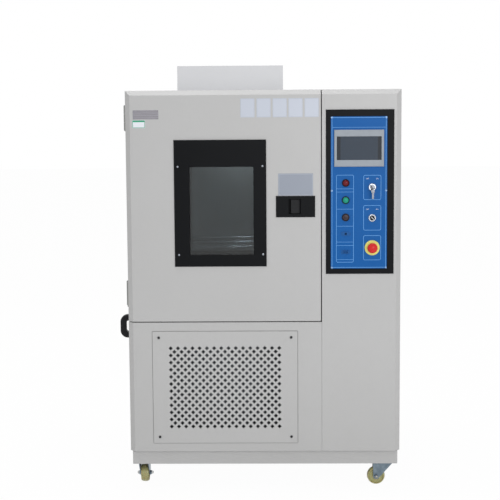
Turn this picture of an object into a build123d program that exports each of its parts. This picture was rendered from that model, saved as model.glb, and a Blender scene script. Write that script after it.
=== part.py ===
from build123d import *
import os
from math import cos, radians, sin

os.makedirs("parts", exist_ok=True)

# Millimetres. X points right, Y back and Z up, and the front faces -Y.
# The origin is on the floor under the middle of the whole, side handle and rear stub included.

# Cabinet
cabinet_width = 950.0
cabinet_depth = 1000.0
cabinet_height = 1264.0  # plinth top to roof
sheet = 2.0  # folded steel covers
bevel = 17.0  # 45 degree fold along the front's outer edges
door_seam = 3.5  # open gap round the door
panel_joint = 0.5  # hairline between covers that meet
cover_fold = 18.0  # depth of the side, rear and jamb covers' returns
roof_fold = 25.0
front_inset = 15.0  # plinth set back from the front
plinth_inset = 7.0
plinth_height = 49.5
plinth_wall = 3.0

# Front division
door_width = 673.0
door_thickness = 55.0
door_corner = 5.0
lower_panel_height = 460.0
gasket_gap = 6.0  # door back to jamb face
seat_gap = 0.3  # clearance of pieces that only just meet

# Chamber
chamber_offset = 326.0  # cabinet's left side to the chamber's middle
chamber_width = 400.0
chamber_height = 500.0
chamber_depth = 400.0
duct_depth = 165.0  # air duct behind the baffle
sill_height = 145.0  # door's lower edge to the chamber floor
liner_sheet = 1.5
liner_flange = 20.0
insulation = 100.0
shelf_height = 105.0  # chamber floor to the shelf ledges
ledge_width = 9.0
ledge_drop = 3.0

# Door plug, window and gasket
plug_depth = 18.0
plug_clearance = 12.0
frame_width = 318.0
frame_height = 438.0
frame_thickness = 4.0
frame_drop = 17.0  # window frame's middle above the chamber's middle
glass_width = 220.0
glass_height = 304.0
glass_shift = 4.5  # glass set right of the frame's middle
glass_sill = 41.0  # frame's lower bar
glass_lap = 14.0  # glass hidden behind each bar
glass_thickness = 5.0
gasket_width = 22.0
gasket_offset = 28.0  # chamber mouth to the gasket's inner edge

# Hinges
hinge_length = 86.0
hinge_upper = 93.5  # roof to the upper hinge's middle
hinge_lower = 93.0  # door's lower edge to the lower hinge's middle
leaf_thickness = 3.0
leaf_reach = 34.0
barrel_radius = 5.0
pin_radius = 2.5
running_clearance = 0.05

# Latch
latch_width = 135.0
latch_height = 73.5
latch_plate = 3.0
latch_margin = 7.0  # plate's lap over the housing box
latch_edge = 20.0  # plate's right side to the door's right side
latch_rise = 400.0  # door's lower edge to the latch's middle
housing_depth = 36.0
pocket_width = 42.0
pocket_height = 51.0
pocket_offset = -3.5  # pocket's middle from the plate's middle
pocket_depth = 18.0
paddle_width = 27.0
paddle_height = 47.0
paddle_thickness = 5.0
paddle_pivot = 6.0  # pocket's right side to the pivot
paddle_arm = 18.0
arm_thickness = 4.0
pivot_radius = 3.0
bolt_height = 16.0
bolt_thickness = 11.0
bolt_setback = 20.0  # front face to the bolt
bolt_slot = 10.0

# Control panel
panel_width = 234.0
panel_height = 566.0
panel_edge = 26.0  # panel's right side to the cabinet's right side
panel_drop = 69.0  # roof to the panel's top
backing_thickness = 3.0
face_width = 193.0
face_height = 523.5
face_shift = -3.5  # blue plate left of the backing's middle
face_rise = -2.3
face_thickness = 1.5
screen_width = 170.5
screen_height = 126.0
screen_drop = 45.5  # blue plate's top to the bezel's top
screen_proud = 6.0
glass_inset_side = 8.5
glass_inset_end = 22.5
screen_body_width = 158.0
screen_body_height = 102.0
screen_body_depth = 34.0
switch_hole = 11.0  # radius, the common 22 mm panel hole
switch_clearance = 0.1
switch_body = 32.0
switch_flange = 13.0
switch_bore = 9.0
left_row = -45.5  # lamps' and ports' line from the blue plate's middle
right_row = 46.0
red_lamp_drop = 227.5  # blue plate's top to each part's middle
green_lamp_drop = 286.5
buzzer_drop = 346.0
round_port_drop = 403.0
data_port_drop = 466.0
key_drop = 242.5
selector_drop = 348.5
stop_drop = 451.5
collar_radius = 26.0
collar_thickness = 4.0
mushroom_radius = 17.5
mushroom_height = 13.0
mushroom_gap = 9.0
key_reach = 30.0  # blue plate's face to the key's end

# Grille
grille_width = 507.0
grille_height = 398.0
grille_left = 84.0  # cabinet's left side to the plate
grille_rise = 30.5  # plinth top to the plate
grille_thickness = 2.0
grille_lap = 38.0  # plate's lap over the panel's cut-out
diamond = 14.6  # diagonal of each hole
diamond_pitch_x = 25.3
diamond_pitch_z = 12.7
diamond_rows = 23
diamond_columns = 16
grille_screw_side = 22.0
grille_screw_end = 22.0

# Roof cover, handle, cable port and rear fittings
motor_cover_width = 401.0
motor_cover_depth = 300.0
motor_cover_height = 103.0
motor_cover_offset = 348.0  # cabinet's left side to the cover's middle
motor_cover_setback = 460.0
handle_reach = 45.0
handle_length = 84.0
handle_grip = 21.0
handle_depth = 24.0
handle_setback = 138.0
handle_rise = 382.0  # plinth top to the handle's lower end
port_radius = 24.0
port_wall = 2.0
port_flange = 38.0
port_flange_thickness = 3.0
port_setback = 200.0  # jamb face to the port's middle
port_rise = 300.0  # chamber floor to the port's middle
plug_length = 40.0
plug_head_radius = 30.0
plug_head = 8.0
drain_radius = 8.0
drain_bore = 6.0
drain_reach = 35.0
gland_radius = 14.0
gland_bore = 6.5
gland_reach = 22.0

# Casters
wheel_radius = 32.0
wheel_width = 27.0
caster_height = 92.5
caster_trail = 37.0
caster_plate = 4.0
caster_plate_side = 62.0
caster_side_inset = 40.0  # kingpin from the cabinet's side
caster_end_inset = 80.0  # kingpin from the cabinet's front and rear
kingpin_radius = 6.0
fork_gap = 30.0
fork_sheet = 3.0
axle_radius = 4.0

# Air handling and refrigeration
fan_radius = 72.0
fan_height = 48.0
fan_blades = 24
blade_depth = 18.0
blade_thickness = 1.5
shaft_radius = 6.0
motor_radius = 58.0
motor_height = 84.0
condenser_width = 430.0
condenser_height = 330.0
condenser_thickness = 44.0
condenser_setback = 90.0
condenser_fan_radius = 120.0
condenser_fan_blades = 5
compressor_radius = 82.0
compressor_height = 210.0


def mid(span):
    return (span[0] + span[1]) / 2


def length(span):
    return span[1] - span[0]


def about(centre, size):
    return (centre - size / 2, centre + size / 2)


def grown(span, margin):
    return (span[0] - margin, span[1] + margin)


def facing_front(y):
    """Plane at depth y that looks forward: its sketch axes are X and Z."""
    return Plane.XZ.offset(-y)


def pane(first, second, mode=Mode.ADD):
    """Rectangle of the open sketch, from its spans along the sketch's two axes."""
    with Locations((mid(first), mid(second))):
        Rectangle(length(first), length(second), mode=mode)


def block(x_span, y_span, z_span, mode=Mode.ADD):
    """Box of the open part, from its three spans."""
    with Locations((mid(x_span), mid(y_span), mid(z_span))):
        Box(length(x_span), length(y_span), length(z_span), mode=mode)


# Places that follow from the sizes
lock_face = backing_thickness + face_thickness
front_reach = lock_face + key_reach
centre_x = handle_reach / 2
front_y = -(cabinet_depth + drain_reach - front_reach) / 2
rear_y = front_y + cabinet_depth
cabinet_x = about(centre_x, cabinet_width)
left_x, right_x = cabinet_x
plinth_z = (caster_height, caster_height + plinth_height)
deck_z = plinth_z[1]
roof_z = deck_z + cabinet_height
jamb_y = front_y + door_thickness + gasket_gap

door_x = (left_x, left_x + door_width)
door_z = (deck_z + lower_panel_height + door_seam, roof_z)
column_x = (door_x[1] + door_seam, right_x)

chamber_x = about(left_x + chamber_offset, chamber_width)
chamber_y = (jamb_y, jamb_y + chamber_depth)
chamber_z = (door_z[0] + sill_height, door_z[0] + sill_height + chamber_height)
duct_y = (chamber_y[1], chamber_y[1] + duct_depth)

# Welded plinth: a closed box section with the deck that carries the machine,
# and a swivel plate with its kingpin under each corner
kingpins = {
    "front_left": (left_x + caster_side_inset, front_y + caster_end_inset, 90),
    "front_right": (right_x - caster_side_inset, front_y + caster_end_inset, 180),
    "rear_left": (left_x + caster_side_inset, rear_y - caster_end_inset, 60),
    "rear_right": (right_x - caster_side_inset, rear_y - caster_end_inset, 130),
}
plate_z = caster_height - caster_plate
crown_z = plate_z - seat_gap
crown_thickness = 4.0
pin_head_z = crown_z - crown_thickness - seat_gap
pin_head = 3.0
plinth_x = grown(cabinet_x, -plinth_inset)
plinth_y = (front_y + front_inset, rear_y - plinth_inset)

with BuildPart() as base_frame:
    with BuildSketch(Plane.XY.offset(plinth_z[0])):
        pane(plinth_x, plinth_y)
    extrude(amount=plinth_height)
    with BuildSketch(Plane.XY.offset(plinth_z[0] + plinth_wall)):
        pane(grown(plinth_x, -plinth_wall), grown(plinth_y, -plinth_wall))
    extrude(amount=plinth_height - 2 * plinth_wall, mode=Mode.SUBTRACT)
    with BuildSketch(Plane.XY.offset(plate_z)):
        with Locations([(x, y) for x, y, _ in kingpins.values()]):
            Rectangle(caster_plate_side, caster_plate_side)
    extrude(amount=caster_plate)
    with BuildSketch(Plane.XY.offset(plate_z)):
        with Locations([(x, y) for x, y, _ in kingpins.values()]):
            Circle(kingpin_radius)
    extrude(amount=-(plate_z - pin_head_z))
    with BuildSketch(Plane.XY.offset(pin_head_z)):
        with Locations([(x, y) for x, y, _ in kingpins.values()]):
            Circle(kingpin_radius + 4)
    extrude(amount=-pin_head)
base_frame.part.label = "base_frame"
export_step(base_frame.part, "parts/base_frame.step")


def caster_planes(x, y, heading):
    """Level plane at the kingpin whose x axis trails, and the upright plane along the trail."""
    trail = (cos(radians(heading)), sin(radians(heading)), 0)
    level = Plane(origin=(x, y, 0), x_dir=trail, z_dir=(0, 0, 1))
    upright = Plane(origin=(x, y, 0), x_dir=trail, z_dir=(trail[1], -trail[0], 0))
    return level, upright


# Swivel casters: a pressed fork with its riveted axle, and a wheel
for corner, (pin_x, pin_y, heading) in kingpins.items():
    level, upright = caster_planes(pin_x, pin_y, heading)
    fork_half = fork_gap / 2 + fork_sheet
    fork_x = (-24.0, caster_trail + 11)

    with BuildPart() as caster_fork:
        with BuildSketch(level.offset(crown_z)):
            pane(fork_x, (-fork_half, fork_half))
            Circle(26)
            Circle(kingpin_radius + running_clearance, mode=Mode.SUBTRACT)
        extrude(amount=-crown_thickness)
        for side in (-1, 1):
            with BuildSketch(upright.offset(side * (fork_gap + fork_sheet) / 2)):
                with Locations((mid(fork_x), crown_z - crown_thickness / 2)):
                    Rectangle(length(fork_x), crown_thickness)
                with Locations((caster_trail, wheel_radius)):
                    Circle(11)
                make_hull()
            extrude(amount=fork_sheet / 2, both=True)
        with BuildSketch(upright):
            with Locations((caster_trail, wheel_radius)):
                Circle(axle_radius)
        extrude(amount=fork_half + 2, both=True)
        with BuildSketch(upright.offset(fork_half), upright.offset(-fork_half - 5)):
            with Locations((caster_trail, wheel_radius)):
                RegularPolygon(7.5, 6)
        extrude(amount=5)
    caster_fork.part.label = f"caster_fork_{corner}"
    export_step(caster_fork.part, f"parts/caster_fork_{corner}.step")

    hub = level.offset(wheel_radius).location * Pos(caster_trail, 0, 0)
    with BuildPart() as caster_wheel:
        with BuildSketch(Plane(hub)):
            with BuildLine():
                Polyline(
                    (axle_radius + running_clearance, wheel_width / 2 + 1),
                    (11, wheel_width / 2 + 1),
                    (12, wheel_width / 2 - 4),
                    (wheel_radius - 8, wheel_width / 2 - 4),
                    (wheel_radius - 6, wheel_width / 2),
                    (wheel_radius - 3, wheel_width / 2),
                    (wheel_radius - 0.5, wheel_width / 4),
                    (wheel_radius, 0),
                    (axle_radius + running_clearance, 0),
                    close=True,
                )
            make_face()
            mirror(about=Plane.XZ)
        revolve(axis=Axis(hub.position, level.y_dir))
    caster_wheel.part.label = f"caster_wheel_{corner}"
    export_step(caster_wheel.part, f"parts/caster_wheel_{corner}.step")

# Side covers: shallow folded pans that stand on the deck
side_y = (jamb_y + panel_joint, rear_y - cover_fold - panel_joint)
side_z = (deck_z, roof_z - roof_fold - panel_joint)
port_y = jamb_y + port_setback
port_z = chamber_z[0] + port_rise
vent_slot = (110.0, 7.0)
vent_pitch = 22.0

with BuildPart() as left_side_panel:
    block((left_x, left_x + cover_fold), side_y, side_z)
    inner = left_side_panel.faces().sort_by(Axis.X)[-1]
    offset(amount=-sheet, openings=inner, kind=Kind.INTERSECTION)
    with BuildSketch(Plane.YZ.offset(left_x)):
        with Locations((port_y, port_z)):
            Circle(port_radius + port_wall + seat_gap)
    extrude(amount=sheet, mode=Mode.SUBTRACT)
left_side_panel.part.label = "left_side_panel"
export_step(left_side_panel.part, "parts/left_side_panel.step")

with BuildPart() as right_side_panel:
    block((right_x - cover_fold, right_x), side_y, side_z)
    inner = right_side_panel.faces().sort_by(Axis.X)[0]
    offset(amount=-sheet, openings=inner, kind=Kind.INTERSECTION)
    with BuildSketch(Plane.YZ.offset(right_x - sheet)):
        for vent_z in (deck_z + 260, roof_z - 260):
            with Locations((mid(side_y), vent_z)):
                with GridLocations(vent_slot[0] + 40, vent_pitch, 2, 7):
                    Rectangle(*vent_slot)
    extrude(amount=sheet, mode=Mode.SUBTRACT)
right_side_panel.part.label = "right_side_panel"
export_step(right_side_panel.part, "parts/right_side_panel.step")

# Rear cover with the condenser's exhaust slots and the holes of the drain and the gland
drain_x = left_x + 140
drain_z = deck_z + 60
gland_x = right_x - 120
gland_z = deck_z + 60

with BuildPart() as rear_panel:
    block(cabinet_x, (rear_y - cover_fold, rear_y), side_z)
    inner = rear_panel.faces().sort_by(Axis.Y)[0]
    offset(amount=-sheet, openings=inner, kind=Kind.INTERSECTION)
    with BuildSketch(facing_front(rear_y - sheet)):
        with Locations((mid(door_x), deck_z + 260)):
            with GridLocations(vent_slot[0] + 40, vent_pitch, 3, 10):
                Rectangle(*vent_slot)
        with Locations((drain_x, drain_z)):
            Circle(drain_radius + switch_clearance)
        with Locations((gland_x, gland_z)):
            Circle(gland_radius - 4 + switch_clearance)
    extrude(amount=-sheet, mode=Mode.SUBTRACT)
rear_panel.part.label = "rear_panel"
export_step(rear_panel.part, "parts/rear_panel.step")

# Roof cover, open under the motor cover so that the fan's shaft goes down
motor_cover_x = about(left_x + motor_cover_offset, motor_cover_width)
motor_cover_y = (front_y + motor_cover_setback, front_y + motor_cover_setback + motor_cover_depth)
fan_x = mid(chamber_x)
fan_y = mid(duct_y)
shaft_tunnel = shaft_radius + 8

with BuildPart() as top_panel:
    block(cabinet_x, (jamb_y, rear_y), (roof_z - roof_fold, roof_z))
    under = top_panel.faces().sort_by(Axis.Z)[0]
    offset(amount=-sheet, openings=under, kind=Kind.INTERSECTION)
    with BuildSketch(Plane.XY.offset(roof_z - sheet)):
        with Locations((fan_x, fan_y)):
            Circle(shaft_tunnel)
    extrude(amount=sheet, mode=Mode.SUBTRACT)
top_panel.part.label = "top_panel"
export_step(top_panel.part, "parts/top_panel.step")

with BuildPart() as motor_cover:
    block(motor_cover_x, motor_cover_y, (roof_z, roof_z + motor_cover_height))
    under = motor_cover.faces().sort_by(Axis.Z)[0]
    offset(amount=-sheet, openings=under, kind=Kind.INTERSECTION)
    with BuildSketch(facing_front(motor_cover_y[1] - sheet)):
        with Locations((mid(motor_cover_x), roof_z + motor_cover_height / 2)):
            with GridLocations(vent_slot[0] + 40, vent_pitch, 2, 3):
                Rectangle(*vent_slot)
    extrude(amount=-sheet, mode=Mode.SUBTRACT)
motor_cover.part.label = "motor_cover"
export_step(motor_cover.part, "parts/motor_cover.step")

# Jamb behind the door, folded round the chamber's mouth
mouth_x = grown(chamber_x, liner_sheet + seat_gap)
mouth_z = grown(chamber_z, liner_sheet + seat_gap)
jamb_x = (left_x + cover_fold + panel_joint, column_x[0] + cover_fold)

with BuildPart() as door_jamb:
    block(jamb_x, (jamb_y, jamb_y + cover_fold), (door_z[0], side_z[1]))
    behind = door_jamb.faces().sort_by(Axis.Y)[-1]
    offset(amount=-sheet, openings=behind, kind=Kind.INTERSECTION)
    block(mouth_x, (jamb_y, jamb_y + sheet), mouth_z, mode=Mode.SUBTRACT)
door_jamb.part.label = "door_jamb"
export_step(door_jamb.part, "parts/door_jamb.step")

# Lower front cover with the grille's cut-out
lower_x = (left_x, column_x[0] - panel_joint)
lower_z = (deck_z, deck_z + lower_panel_height)
grille_x = (left_x + grille_left, left_x + grille_left + grille_width)
grille_z = (deck_z + grille_rise, deck_z + grille_rise + grille_height)
grille_screw_x = grown(grille_x, -grille_screw_side)
grille_screw_z = grown(grille_z, -grille_screw_end)
grille_screws = [(x, z) for x in grille_screw_x for z in grille_screw_z]
grille_screw_radius = 2.4

with BuildPart() as lower_front_panel:
    block(lower_x, (front_y, jamb_y), lower_z)
    front = lower_front_panel.faces().sort_by(Axis.Y)[0]
    chamfer(front.edges().sort_by(Axis.X)[0], length=bevel)
    behind = lower_front_panel.faces().sort_by(Axis.Y)[-1]
    offset(amount=-sheet, openings=behind, kind=Kind.INTERSECTION)
    with BuildSketch(facing_front(front_y)):
        pane(grown(grille_x, -grille_lap), grown(grille_z, -grille_lap))
        with Locations(grille_screws):
            Circle(grille_screw_radius + switch_clearance)
    extrude(amount=-sheet, mode=Mode.SUBTRACT)
lower_front_panel.part.label = "lower_front_panel"
export_step(lower_front_panel.part, "parts/lower_front_panel.step")

with BuildPart() as grille_plate:
    with BuildSketch(facing_front(front_y)):
        pane(grille_x, grille_z)
        with Locations(grille_screws):
            Circle(grille_screw_radius + switch_clearance, mode=Mode.SUBTRACT)
        with Locations((mid(grille_x), mid(grille_z))):
            long_rows = (diamond_rows + 1) // 2
            with GridLocations(diamond_pitch_x, 2 * diamond_pitch_z, diamond_columns, long_rows):
                Rectangle(diamond / 2**0.5, diamond / 2**0.5, rotation=45, mode=Mode.SUBTRACT)
            with GridLocations(diamond_pitch_x, 2 * diamond_pitch_z, diamond_columns - 1, long_rows - 1):
                Rectangle(diamond / 2**0.5, diamond / 2**0.5, rotation=45, mode=Mode.SUBTRACT)
    extrude(amount=grille_thickness)
grille_plate.part.label = "grille_plate"
export_step(grille_plate.part, "parts/grille_plate.step")

# Control panel: a black backing over the column's holes, and the blue plate on it
panel_x = (right_x - panel_edge - panel_width, right_x - panel_edge)
panel_z = (roof_z - panel_drop - panel_height, roof_z - panel_drop)
face_x = about(mid(panel_x) + face_shift, face_width)
face_z = about(mid(panel_z) + face_rise, face_height)
backing_y = front_y - backing_thickness
face_y = backing_y - face_thickness


def on_panel(row, drop):
    """Place on the blue plate, from its middle line and its top edge."""
    return (mid(face_x) + row, face_z[1] - drop)


red_lamp_at = on_panel(left_row, red_lamp_drop)
green_lamp_at = on_panel(left_row, green_lamp_drop)
buzzer_at = on_panel(left_row, buzzer_drop)
round_port_at = on_panel(left_row, round_port_drop)
data_port_at = on_panel(left_row, data_port_drop)
key_at = on_panel(right_row, key_drop)
selector_at = on_panel(right_row, selector_drop)
stop_at = on_panel(right_row, stop_drop)
screen_x = about(mid(face_x), screen_width)
screen_z = (face_z[1] - screen_drop - screen_height, face_z[1] - screen_drop)
screen_body_x = about(mid(screen_x), screen_body_width)
screen_body_z = about(mid(screen_z), screen_body_height)
round_port_radius = 6.5
data_port_size = (20.0, 11.0)
face_screw_radius = 1.8
face_screw_x = grown(face_x, -3.5)
face_screw_z = grown(face_z, -3.5)
face_screws = [(x, z) for x in face_screw_x for z in (*face_screw_z, mid(face_z) + 8)]


def panel_openings(mode):
    """Cut-outs that the backing, the blue plate and the column cover share."""
    with Locations(red_lamp_at, green_lamp_at, buzzer_at, key_at, selector_at, stop_at):
        Circle(switch_hole, mode=mode)
    with Locations(round_port_at):
        Circle(round_port_radius + switch_clearance, mode=mode)
    with Locations(data_port_at):
        Rectangle(*[size + 2 * switch_clearance for size in data_port_size], mode=mode)
    pane(grown(screen_body_x, seat_gap), grown(screen_body_z, seat_gap), mode=mode)
    with Locations(face_screws):
        Circle(face_screw_radius + switch_clearance, mode=mode)


with BuildPart() as column_front_panel:
    block(column_x, (front_y, jamb_y), (deck_z, roof_z))
    front = column_front_panel.faces().sort_by(Axis.Y)[0]
    chamfer([front.edges().sort_by(Axis.X)[-1], front.edges().sort_by(Axis.Z)[-1]], length=bevel)
    behind = column_front_panel.faces().sort_by(Axis.Y)[-1]
    offset(amount=-sheet, openings=behind, kind=Kind.INTERSECTION)
    with BuildSketch(facing_front(front_y)):
        panel_openings(Mode.ADD)
    extrude(amount=-sheet, mode=Mode.SUBTRACT)
column_front_panel.part.label = "column_front_panel"
export_step(column_front_panel.part, "parts/column_front_panel.step")

with BuildPart() as control_frame:
    with BuildSketch(facing_front(front_y)):
        pane(panel_x, panel_z)
        panel_openings(Mode.SUBTRACT)
    extrude(amount=backing_thickness)
    front = control_frame.faces().sort_by(Axis.Y)[0]
    chamfer(front.outer_wire().edges(), length=1)
control_frame.part.label = "control_frame"
export_step(control_frame.part, "parts/control_frame.step")

with BuildPart() as control_plate:
    with BuildSketch(facing_front(backing_y)):
        pane(face_x, face_z)
        panel_openings(Mode.SUBTRACT)
    extrude(amount=face_thickness)
control_plate.part.label = "control_plate"
export_step(control_plate.part, "parts/control_plate.step")

with BuildPart() as panel_screws:
    for plate_y, places, radius in (
        (front_y - grille_thickness, grille_screws, grille_screw_radius),
        (face_y, face_screws, face_screw_radius),
    ):
        with BuildSketch(facing_front(plate_y)):
            with Locations(places):
                Circle(2 * radius)
        extrude(amount=radius, taper=12)
        with BuildSketch(facing_front(plate_y)):
            with Locations(places):
                Circle(radius)
        extrude(amount=-(front_y + sheet - plate_y))
panel_screws.part.label = "panel_screws"
export_step(panel_screws.part, "parts/panel_screws.step")

# Touch screen: bevelled bezel with a sunk glass, and its body through the cut-outs
with BuildPart() as touch_screen:
    with BuildSketch(facing_front(face_y)):
        pane(screen_x, screen_z)
    extrude(amount=screen_proud)
    front = touch_screen.faces().sort_by(Axis.Y)[0]
    chamfer(front.edges(), length=2)
    with BuildSketch(facing_front(face_y - screen_proud)):
        pane(grown(screen_x, -glass_inset_side), grown(screen_z, -glass_inset_end))
    extrude(amount=-1.5, mode=Mode.SUBTRACT)
    with BuildSketch(facing_front(face_y)):
        pane(screen_body_x, screen_body_z)
    extrude(amount=-screen_body_depth)
touch_screen.part.label = "touch_screen"
export_step(touch_screen.part, "parts/touch_screen.step")

# Panel lamps and switches share one 22 mm barrel, nut and contact block
stack = lock_face + sheet
nut_depth = stack + 4
block_depth = nut_depth + 28


def switch_axis(place):
    """Axis of a fitting on the blue plate, pointing back."""
    return Axis((place[0], face_y, place[1]), (0, 1, 0))


def turned(place):
    """Level plane through a fitting: its sketch axes are the radius and the depth."""
    return Plane(origin=(place[0], face_y, place[1]), x_dir=(1, 0, 0), z_dir=(0, 0, 1))


def barrel(head):
    """Radius and depth of a turned fitting: its head's points, then barrel and nut."""
    behind = [
        (switch_hole - switch_clearance, 0),
        (switch_hole - switch_clearance, stack),
        (switch_flange + 1, stack),
        (switch_flange + 1, nut_depth),
    ]
    return head + behind


def contact_block(place):
    """Contact block behind the nut, in the open part."""
    sides = about(place[0], switch_body)
    heights = about(place[1], switch_body)
    block(sides, (face_y + nut_depth, face_y + block_depth), heights)


lamps = {
    "red_lamp": (red_lamp_at, 8.0),
    "green_lamp": (green_lamp_at, 8.0),
    "alarm_buzzer": (buzzer_at, 5.0),
}
lens_radius = 10.5
for name, (place, dome) in lamps.items():
    with BuildPart() as lamp:
        with BuildSketch(turned(place)):
            with BuildLine():
                TangentArc((0, -dome), (lens_radius, -2.5), tangent=(1, 0))
                points = [(lens_radius, -2.5), (switch_flange, -2.5), (switch_flange, 0)]
                Polyline(*barrel(points), (0, nut_depth), (0, -dome))
            make_face()
        revolve(axis=switch_axis(place))
        contact_block(place)
    lamp.part.label = name
    export_step(lamp.part, f"parts/{name}.step")

bore_end = block_depth - 8


def stem_bore(place):
    """Blind bore for a switch's turning or sliding stem, cut from the open part."""
    with BuildSketch(facing_front(face_y - collar_thickness)) as bore:
        with Locations(place):
            Circle(switch_bore)
    extrude(bore.sketch, amount=-(collar_thickness + bore_end), mode=Mode.SUBTRACT)


with BuildPart() as switch_bezels:
    for place in (key_at, selector_at):
        with BuildSketch(turned(place)):
            with BuildLine():
                points = [
                    (0, -collar_thickness),
                    (switch_flange - 1.5, -collar_thickness),
                    (switch_flange, -collar_thickness + 1.5),
                    (switch_flange, 0),
                ]
                Polyline(*barrel(points), (0, nut_depth), close=True)
            make_face()
        revolve(axis=switch_axis(place))
        contact_block(place)
        stem_bore(place)
switch_bezels.part.label = "switch_bezels"
export_step(switch_bezels.part, "parts/switch_bezels.step")

with BuildPart() as stop_collar:
    with BuildSketch(turned(stop_at)):
        with BuildLine():
            points = [
                (0, -collar_thickness),
                (collar_radius - 2, -collar_thickness),
                (collar_radius, -collar_thickness + 2),
                (collar_radius, 0),
            ]
            Polyline(*barrel(points), (0, nut_depth), close=True)
        make_face()
    revolve(axis=switch_axis(stop_at))
    contact_block(stop_at)
    stem_bore(stop_at)
stop_collar.part.label = "stop_collar"
export_step(stop_collar.part, "parts/stop_collar.step")

# Stop button: a domed head on a stem that slides in the collar
stem_radius = switch_bore - running_clearance
stem_end = nut_depth + 6
with BuildPart() as stop_button:
    with BuildSketch(turned(stop_at)):
        with BuildLine():
            head_back = -collar_thickness - mushroom_gap
            head_front = head_back - mushroom_height
            rim = (mushroom_radius, head_back - 4)
            TangentArc((0, head_front), rim, tangent=(1, 0))
            Polyline(
                rim,
                (mushroom_radius - 1.5, head_back),
                (stem_radius, head_back),
                (stem_radius, stem_end),
                (0, stem_end),
                (0, head_front),
            )
        make_face()
    revolve(axis=switch_axis(stop_at))
stop_button.part.label = "stop_button"
export_step(stop_button.part, "parts/stop_button.step")

# Key in its lock core, and the selector's knob: both stand at the slanted first position
lock_recess = collar_thickness - 1
slant = radians(45)
key_thickness = 2.4
key_bow = 17.0


def grip_plane(place):
    """Upright plane along a fitting's slanted grip: sketch y points out of the panel."""
    slanted = Vector(cos(slant), 0, -sin(slant))
    outwards = Vector(0, -1, 0)
    return Plane(origin=(place[0], face_y, place[1]), x_dir=slanted, z_dir=slanted.cross(outwards))


with BuildPart() as key:
    with BuildSketch(facing_front(face_y - lock_recess)):
        with Locations(key_at):
            Circle(stem_radius)
    extrude(amount=-(lock_recess + stem_end))
    with BuildSketch(grip_plane(key_at)):
        pane((-4, 4), (lock_recess - 1, key_reach - key_bow + 3))
        with Locations((0, key_reach - key_bow / 2)):
            RectangleRounded(key_bow, key_bow, 5)
        with Locations((0, key_reach - 6)):
            Circle(3.2, mode=Mode.SUBTRACT)
    extrude(amount=key_thickness / 2, both=True)
key.part.label = "key"
export_step(key.part, "parts/key.step")

grip_height = 13.0
with BuildPart() as selector_knob:
    with BuildSketch(facing_front(face_y - lock_recess)):
        with Locations(selector_at):
            Circle(stem_radius)
    extrude(amount=-(lock_recess + stem_end))
    with BuildSketch(grip_plane(selector_at)):
        pane(about(0, 2 * stem_radius - 2), (lock_recess, lock_recess + grip_height))
    extrude(amount=3, both=True)
    front = selector_knob.faces().sort_by(Axis.Y)[0]
    chamfer(front.edges(), length=1.2)
selector_knob.part.label = "selector_knob"
export_step(selector_knob.part, "parts/selector_knob.step")

# Data ports: a round socket and a trapezoid one, each on its screwed flange
with BuildPart() as data_ports:
    with BuildSketch(facing_front(face_y)):
        with Locations(round_port_at):
            SlotOverall(33, 14)
    extrude(amount=1.5)
    with BuildSketch(facing_front(face_y)):
        with Locations(round_port_at):
            Circle(round_port_radius)
    extrude(amount=-(stack + 10))
    with BuildSketch(facing_front(face_y - 1.5)):
        with Locations(round_port_at):
            Circle(4.2)
    extrude(amount=-10, mode=Mode.SUBTRACT)
    with BuildSketch(facing_front(face_y)):
        with Locations(data_port_at):
            RectangleRounded(31, 12.5, 3)
    extrude(amount=1.5)
    with BuildSketch(facing_front(face_y)):
        with Locations(data_port_at):
            Trapezoid(17, 8.5, 80, rotation=180)
    extrude(amount=6)
    with BuildSketch(facing_front(face_y - 6)):
        with Locations(data_port_at):
            Trapezoid(15, 6.5, 80, rotation=180)
    extrude(amount=-4, mode=Mode.SUBTRACT)
    with BuildSketch(facing_front(face_y)):
        with Locations(data_port_at):
            Rectangle(*data_port_size)
    extrude(amount=-(stack + 10))
data_ports.part.label = "data_ports"
export_step(data_ports.part, "parts/data_ports.step")

# Chamber: stainless liner with a flange round its mouth and pressed shelf ledges
liner_outer_x = grown(chamber_x, liner_sheet)
liner_outer_z = grown(chamber_z, liner_sheet)
liner_back = duct_y[1] + liner_sheet
ledge_z = chamber_z[0] + shelf_height
ledge_y = (jamb_y + 25, duct_y[0] - 5)
port_outer = port_radius + port_wall
seal_radius = shaft_radius + 3

with BuildPart() as chamber_liner:
    block(liner_outer_x, (jamb_y - liner_sheet, liner_back), liner_outer_z)
    flange_x = grown(liner_outer_x, liner_flange)
    block(flange_x, (jamb_y - liner_sheet, jamb_y), grown(liner_outer_z, liner_flange))
    block(chamber_x, (jamb_y - liner_sheet, duct_y[1]), chamber_z, mode=Mode.SUBTRACT)
    for wall, inward in ((chamber_x[0], 1), (chamber_x[1], -1)):
        ledge_x = sorted((wall, wall + inward * ledge_width))
        block(ledge_x, ledge_y, (ledge_z - ledge_drop, ledge_z))
    with BuildSketch(Plane.XY.offset(chamber_z[1])):
        with Locations((fan_x, fan_y)):
            Circle(seal_radius)
    extrude(amount=liner_sheet, mode=Mode.SUBTRACT)
    with BuildSketch(Plane.YZ.offset(liner_outer_x[0])):
        with Locations((port_y, port_z)):
            Circle(port_outer + seat_gap)
    extrude(amount=liner_sheet, mode=Mode.SUBTRACT)
chamber_liner.part.label = "chamber_liner"
export_step(chamber_liner.part, "parts/chamber_liner.step")

foam_x = (left_x + cover_fold, liner_outer_x[1] + insulation)
foam_y = (jamb_y + cover_fold, liner_back + insulation)
foam_z = (liner_outer_z[0] - insulation, roof_z - sheet)

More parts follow.
